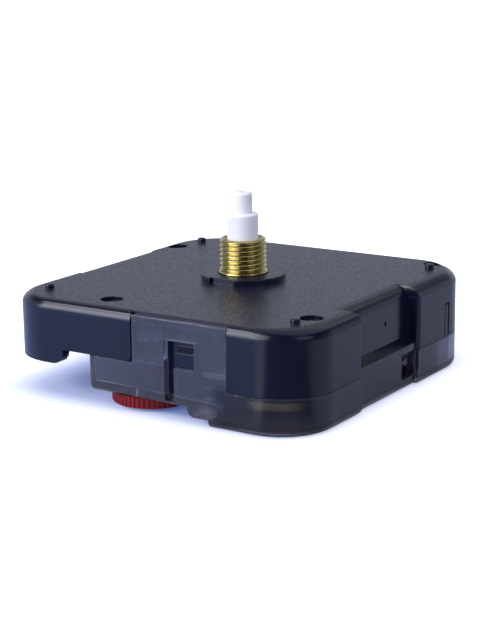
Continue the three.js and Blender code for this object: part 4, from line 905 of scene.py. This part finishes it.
minute_shaft = gear("minute_shaft", 12, 1.94, 2.76, (10.6, 12.6))
shaft_profile = [
    (0, 6), (1.6, 6), (1.6, 8.45), (2.2, 8.45), (2.2, 10.7), (1.6, 10.7),
    (1.6, 29.9), *quarter((1.15, 29.95), 0.45, 0), (0, 30.4),
]
join(minute_shaft, turned("shaft", shaft_profile, sides=96))
cut(minute_shaft, drum("shaft_bore", 0.56, (5, 31), sides=48))
hand_over(minute_shaft, "white_plastic", "minute_arbor", body="minute")

# %% [markdown]
# The setting knob
#
# The red knob turns the hands from the back. Its rim is ribbed for the thumb, its underside is
# dished, and its stem goes up through the cover and the bridge to the setting gear. What the ribbed
# drum shares with a turned rim is kept, which rounds the ribs at both ends.

# %% Mould the setting knob
knob = gear("knob", 52, 6.34, 6.55, (0.5, 2.5), at=KNOB_AT, tip_share=0.24)
rim_profile = [
    (0, 0.6), (6.26, 0.6), *quarter((6.26, 0.9), 0.3, -90), *quarter((6.26, 2.1), 0.3, 0), (0, 2.4),
]
combine(knob, "INTERSECT", [turned("rim", rim_profile, KNOB_AT, sides=156)])
dish = drum("dish", 5.1, (-1, 1.3), KNOB_AT, sides=96)
cut(knob, round_edges(dish, 0.25, edges_at(z=1.3), segments=3))
hub = drum("hub", 2.2, (0.95, 2), KNOB_AT, sides=64)
join(knob, round_edges(hub, 0.2, edges_at(z=0.95), segments=3))
stem_profile = [
    (0, 2.2), (1.2, 2.2), (1.2, 10.8), (0.6, 10.8), (0.6, 11.55), (0.45, 11.7), (0, 11.7),
]
join(knob, turned("stem", stem_profile, KNOB_AT, sides=48))
hand_over(knob, "red_plastic", "setting_knob", body="setting")

# %% [markdown]
# The battery contacts
#
# The contacts are bent from tinned strip 0.3 mm thick, as on a press brake: a line with rounded
# bends is drawn, extruded to the width of the strip, and given its thickness with the Solidify
# modifier. The positive one runs round the case from its plate with a pressed nub to a foot on the
# board. The negative one has a leaf spring, a small tail that shows under the front wall, and a
# flat lead to the board.

# %% Bend the strips
STRIP = 0.3


def bent_strip(name, points, width, turn=(0, 0, 0), move=(0, 0, 0)):
    """A strip bent along [x, z] points and as wide as given along Y, then turned and moved."""
    piece = line_of_points(name, points)
    along_y = {"value": (0, width * MM, 0)}
    on_everything(piece, bpy.ops.mesh.extrude_region_move, TRANSFORM_OT_translate=along_y)
    close_up(piece)
    modify(piece, "SOLIDIFY", thickness=STRIP * MM, offset=0, use_even_offset=True)
    piece.rotation_euler = [math.radians(a) for a in turn]
    piece.location = [c * MM for c in move]
    return close_up(settle(piece, name))


# %% Bend the positive contact
FAR = 25.85
PLATE_Y = (25.7, 26)
NUB_END = 24.75

band_line = [(FAR, -12.95), *quarter((FAR - 6.6, FAR - 6.6), 6.6, 0, 10), (-12.6, FAR)]
positive = bent_strip("positive_contact_strip", band_line, 0.9, turn=(-90, 0, 0), move=(0, 0, 5.7))
plate = block("plate", (-21.5, -12.3), PLATE_Y, (4.8, 11))
round_edges(plate, 1.2, edges_at("y", z=11), segments=5)
nub = drum("nub", 2.2, (NUB_END, 25.9), (CELL["x"], CELL["z"]), along="Y", sides=48)
round_edges(nub, 0.6, edges_at(y=NUB_END), segments=4)
leg = block("leg", PLATE_Y, (-12.95, -12.05), (4.8, 5.8))
contact_foot = block("contact_foot", (25.1, 26), (-15.2, -12.05), (5.5, 5.8))
join(positive, plate, nub, leg, contact_foot)
solder = drum("solder", 0.6, (5.55, 6.0), (25.35, -14.5), sides=24)
join(positive, round_edges(solder, 0.3, edges_at(z=6.0), segments=3))
hand_over(positive, "tinned_strip", "positive_contact")

# %% Bend the negative contact
NEAR = -26.25
SHEET_Y = about(NEAR, STRIP / 2)

negative = block("negative_contact_strip", (-20, -11.8), SHEET_Y, (8.55, 12))
round_edges(negative, 1.2, edges_at("y", z=12), segments=5)
lobe = block("lobe", (-20, -15.7), SHEET_Y, (6.4, 8.7))
round_edges(lobe, 1.2, edges_at("y", z=6.4), segments=5)
tail_line = [(0, 0.9), (0, 0.3), (0.25, 0.05), (0.7, -0.1)]
tail = bent_strip("tail", tail_line, 1.5, turn=(0, 0, 90), move=(-14.2, NEAR, 7.9))
lead_line = [
    (-12.9, 8.15), (8.3, 8.15), *reversed(quarter((8.3, 7.75), 0.4, 0, 4)),
    (8.7, 6.05), *quarter((9.1, 6.05), 0.4, 180, 4), (14.1, 5.65),
]
lead = bent_strip("lead", lead_line, 0.9, move=(0, -25.7, 0))
root = block("root", (-12.9, -11.8), (NEAR - STRIP / 2, -24.9), (8.0, 8.3))
riser = block("riser", (-12.9, -11.8), SHEET_Y, (8.0, 8.7))
leaf_line = [
    (0, 11), (0.35, 10.6), (1.5, 9.2), (1.9, 8.3),
    (1.95, 7.55), (1.75, 6.9), (1.2, 6.3), (0.9, 6.1),
]
leaf = bent_strip("leaf", leaf_line, 2.8, turn=(0, 0, 90), move=(CELL["x"] + 1.4, NEAR, 0))
join(negative, lobe, tail, riser, root, lead, leaf)
hand_over(negative, "tinned_strip", "negative_contact")

# %% [markdown]
# Surface effects
#
# Most finishes share a few effects, so each effect is a node group with its own inputs: the fine
# grain of a moulding, the slow change of colour where the plastic flowed, handling marks in the
# gloss, a soft edge, the rings that a lathe leaves, and the wires of a coil. They all read the
# place on the object, in metres, so that their scale is real: 1000 per metre is one per millimetre.

# %% Build the shared effects
FLOAT, COLOUR, VECTOR = "NodeSocketFloat", "NodeSocketColor", "NodeSocketVector"
GREY = (0.5, 0.5, 0.5, 1)


def new_effect(name, inputs, outputs):
    """An empty node group, given the values of its inputs and the kinds of its outputs."""
    tree = bpy.data.node_groups.new(name, "ShaderNodeTree")
    for label, value in inputs.items():
        kind = COLOUR if isinstance(value, tuple) else FLOAT
        socket = tree.interface.new_socket(name=label, in_out="INPUT", socket_type=kind)
        socket.default_value = value
    for label, kind in outputs.items():
        tree.interface.new_socket(name=label, in_out="OUTPUT", socket_type=kind)
    return tree, tree.nodes.new("NodeGroupInput").outputs, tree.nodes.new("NodeGroupOutput").inputs


def noise(place, scale, detail, roughness=0.55):
    inputs = {"Vector": place, "Scale": scale, "Detail": detail, "Roughness": roughness}
    return add(place.id_data, "TexNoise", inputs).outputs["Fac"]


grain, ins, outs = new_effect(
    "moulding_grain", {"Grains per metre": 7000.0}, {"Height": FLOAT, "Mask": FLOAT}
)
fine = noise(on_object(grain), ins["Grains per metre"], 3.0)
feed(outs["Height"], fine)
feed(outs["Mask"], blend_range(fine, 0.35, 0.7))

tints = {"Colour": GREY, "Other colour": GREY, "Patches per metre": 90.0}
flow, ins, outs = new_effect("flow_tint", tints, {"Colour": COLOUR})
patches = blend_range(noise(on_object(flow), ins["Patches per metre"], 5.0), 0.35, 0.65)
feed(outs["Colour"], colour_mix(patches, ins["Colour"], ins["Other colour"]))

marks, ins, outs = new_effect(
    "handling_marks", {"Clean roughness": 0.3, "Marked roughness": 0.5}, {"Roughness": FLOAT}
)
where = on_object(marks)
smudge = blend_range(noise(where, 160.0, 5.0, 0.6), 0.4, 0.7, 0.0, 0.8)
drawn_out = {"Vector": where, "Scale": (1.0, 14.0, 5.0), "Rotation": (0.2, 0.1, 0.6)}
scratch_place = add(marks, "Mapping", drawn_out).outputs[0]
scratch = blend_range(noise(scratch_place, 500.0, 2.0), 0.6, 0.75, 0.0, 0.5)
clean, marked = ins["Clean roughness"], ins["Marked roughness"]
feed(outs["Roughness"], blend_range(math_node("ADD", smudge, scratch), 0.0, 1.0, clean, marked))

edge, ins, outs = new_effect("soft_edge", {"Radius": 0.0001}, {"Normal": VECTOR, "Edge": FLOAT})
rounded = add(edge, "Bevel", {"Radius": ins["Radius"]}, samples=4).outputs[0]
plain_normal = add(edge, "NewGeometry").outputs["Normal"]
alike = vector_node("DOT_PRODUCT", rounded, plain_normal)["Value"]
feed(outs["Normal"], rounded)
feed(outs["Edge"], blend_range(alike, 0.99, 0.75))

rings, ins, outs = new_effect("turned_rings", {"Rings per metre": 9000.0}, {"Height": FLOAT})
flat = vector_node("MULTIPLY", on_object(rings), (1, 1, 0))[0]
turns = math_node("MULTIPLY", vector_node("LENGTH", flat)["Value"], ins["Rings per metre"])
feed(outs["Height"], math_node("SINE", math_node("MULTIPLY", turns, 2 * math.pi)))

wires, ins, outs = new_effect("wound_wires", {"Wires per metre": 8000.0}, {"Height": FLOAT})
turns = math_node("MULTIPLY", along_axes(on_object(wires))["Y"], ins["Wires per metre"])
wave = math_node("SINE", math_node("MULTIPLY", turns, math.pi))
feed(outs["Height"], math_node("ABSOLUTE", wave))
print("effects:", sorted(group.name for group in bpy.data.node_groups))

# %% [markdown]
# Putting a finish together
#
# A finish is one material with one Principled shader. Its constant values stand on the shader's own
# sockets. The effects feed the colour, the roughness and the bump.

# %% Make a finish from effects
def use(tree, effect, **inputs):
    """Adds an effect to a finish, with its inputs given as Input_name=value."""
    named = {label.replace("_", " "): value for label, value in inputs.items()}
    return add(tree, "Group", named, node_tree=effect).outputs


def bump(shader, height, depth, normal):
    """Feeds a height, whose full swing is depth millimetres, to the shader's normal."""
    relief = {"Strength": 1.0, "Distance": depth * MM, "Height": height, "Normal": normal}
    feed(shader["Normal"], add(height.id_data, "Bump", relief).outputs[0])


def moulded(
    name, colour, other, clean, marked,
    grains=7000.0, grain_depth=0.01, edge_radius=0.12, **constants,
):
    """A moulded plastic: tinted, grained, handled, with softly rounded edges."""
    material, tree, shader = new_finish(name, **constants)
    feed(shader["Base Color"], use(tree, flow, Colour=colour, Other_colour=other)[0])
    feed(shader["Roughness"], use(tree, marks, Clean_roughness=clean, Marked_roughness=marked)[0])
    height = use(tree, grain, Grains_per_metre=grains)["Height"]
    bump(shader, height, grain_depth, use(tree, edge, Radius=edge_radius * MM)["Normal"])
    return material


def metal(name, colour, clean, marked, grains=4000.0, grain_depth=0.004):
    """A bright metal with handling marks and a fine texture."""
    other = tuple(c * 0.9 for c in colour)
    return moulded(name, colour, other, clean, marked, grains, grain_depth, 0.05, Metallic=1.0)


# %% [markdown]
# The housing's two finishes
#
# The mould of the housing was spark-eroded on the dial face, which makes a matt grain, and polished
# on the sides, which stay glossy. One material does both: it reads which way the surface faces.

# %% Mix the housing's finish
housing_grey, tree, shader = new_finish("charcoal_moulding", Specular_IOR_Level=0.35)
faces_up = along_axes(add(tree, "NewGeometry").outputs["Normal"])["Z"]
matt = blend_range(faces_up, 0.9, 0.99)
polished = use(tree, flow, Colour=(0.0055, 0.0075, 0.022), Other_colour=(0.0045, 0.006, 0.018))[0]
matt_colours = {"Colour": (0.010, 0.011, 0.030), "Other_colour": (0.007, 0.008, 0.022)}
matt_tint = use(tree, flow, **matt_colours, Patches_per_metre=140.0)[0]
feed(shader["Base Color"], colour_mix(matt, polished, matt_tint))
grains = use(tree, grain, Grains_per_metre=3800.0)
handled = use(tree, marks, Clean_roughness=0.14, Marked_roughness=0.24)[0]
rough_grain = blend_range(grains["Mask"], 0.0, 1.0, 0.24, 0.43)
feed(shader["Roughness"], blend_range(matt, 0.0, 1.0, handled, rough_grain))
grain_height = math_node("MULTIPLY", grains["Height"], blend_range(matt, 0.0, 1.0, 0.04, 1.0))
bump(shader, grain_height, 0.06, use(tree, edge, Radius=0.15 * MM)["Normal"])
print("mixed", housing_grey.name)

# %% [markdown]
# The smoky finish
#
# Light and shade inside the cover are painted into the tint of the smoky plastic. Masks that read
# the place on the cover mix the tints: the pan's deep part and the side with the lug are painted
# darker, as painted shade; the edges are painted lighter, as painted highlights; and a narrow band
# before the edge of the circuit board is painted lighter and warmer, as painted light from the
# board showing through.

# %% Mix the smoky finish
smoke = moulded(
    "smoke_clear", (0.33, 0.335, 0.45), (0.28, 0.29, 0.40), 0.06, 0.16, 3000.0, 0.002, 0.15,
    Transmission_Weight=0.9, IOR=1.45, Specular_IOR_Level=0.3,
)
tree = smoke.node_tree
smoke_colour = shader_of(smoke)["Base Color"]
smoke_base_tint = smoke_colour.links[0].from_socket
reach = along_axes(on_object(tree))


def rising(axis, low, high):
    """A mask that rises from 0 to 1 between two places on an axis, in mm, also backwards."""
    return blend_range(reach[axis], low * MM, high * MM)


def all_of(first, *masks):
    for mask in masks:
        first = math_node("MULTIPLY", first, mask)
    return first


# Painted shade: the pan's deep part and the side with the lug are darkened.
painted_shade_tray = all_of(rising("X", 11.8, 13.5), rising("Z", 7, 6))
painted_shade_deep = all_of(math_node("MAXIMUM", painted_shade_tray, rising("X", 20, 21)), rising("Y", 15.3, 15))
# Painted light: a band before the board's edge is lightened and warmed.
painted_board_light = all_of(
    rising("Z", 4.1, 4.4), rising("Z", 5.6, 5.3), rising("X", 18.3, 19.3), rising("Y", -24, -25.5)
)
# Painted highlight: the edges of the cover are lightened.
painted_edge_highlight = use(tree, edge, Radius=0.35 * MM)["Edge"]
tint = colour_mix(painted_shade_deep, smoke_base_tint, (0.085, 0.085, 0.15))
tint = colour_mix(painted_board_light, tint, (0.4, 0.36, 0.36))
feed(smoke_colour, colour_mix(painted_edge_highlight, tint, (0.62, 0.62, 0.72)))
print("mixed", smoke.name)

# %% Mix the other finishes
FINISHES = {
    "grey_plastic": housing_grey,
    "smoke_plastic": smoke,
    "red_plastic": moulded(
        "red_moulding", (0.2, 0.003, 0.009), (0.15, 0.002, 0.007), 0.3, 0.5, Specular_IOR_Level=0.35
    ),
    "white_plastic": moulded(
        "white_acetal", (0.88, 0.87, 0.93), (0.84, 0.83, 0.91), 0.35, 0.5, 5000.0, 0.005,
        Subsurface_Weight=0.3, Subsurface_Scale=0.001,
    ),
    "cream_plastic": moulded("cream_moulding", (0.78, 0.75, 0.68), (0.7, 0.66, 0.58), 0.4, 0.55),
    "brass": metal("turned_brass", (0.59, 0.5, 0.22), 0.2, 0.3),
    "steel": metal("bright_steel", (0.42, 0.43, 0.46), 0.28, 0.45),
    "tinned_strip": metal("tinned_strip", (0.55, 0.54, 0.52), 0.25, 0.42),
    "copper": metal("copper_winding", (0.6, 0.25, 0.11), 0.25, 0.4),
    "ferrite": moulded("ferrite", (0.03, 0.03, 0.035), (0.045, 0.045, 0.05), 0.5, 0.7, 5e3, 0.02),
    "board_brown": moulded("board_laminate", (0.33, 0.16, 0.06), (0.25, 0.12, 0.045), 0.45, 0.6),
    "black_resin": moulded(
        "black_resin", (0.008, 0.008, 0.01), (0.012, 0.012, 0.014), 0.22, 0.4, 900.0, 0.02
    ),
}
for slot_name, effect, depth in (("brass", rings, 0.004), ("copper", wires, 0.05)):
    shader = shader_of(FINISHES[slot_name])
    height = use(FINISHES[slot_name].node_tree, effect)["Height"]
    bump(shader, height, depth, shader["Normal"].links[0].from_socket)
print("mixed", len(FINISHES), "finishes")

# %% Put the finishes on
for piece, slot_name in handed_over:
    piece.data.materials.clear()
    piece.data.materials.append(FINISHES[slot_name])
NODES_BY_SLOT = {
    "white_plastic": (
        "rotor_pinion", "intermediate_wheel", "seconds_wheel", "third_wheel", "centre_wheel",
        "minute_wheel", "setting_pinion",
    ),
    "cream_plastic": ("gear_bridge", "coil_bobbin"),
    "steel": ("seconds_arbor", "stator", "coil_core", "crystal_can"),
    "brass": ("clutch_washer",),
    "ferrite": ("rotor_magnet",),
    "copper": ("coil_winding",),
    "board_brown": ("circuit_board",),
    "black_resin": ("chip_blob",),
}
for slot_name, node_names in NODES_BY_SLOT.items():
    for node_name in node_names:
        for slot_of_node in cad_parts[node_name].material_slots:
            slot_of_node.material = FINISHES[slot_name]
print("finished", sum(map(len, NODES_BY_SLOT.values())), "carried-over pieces")
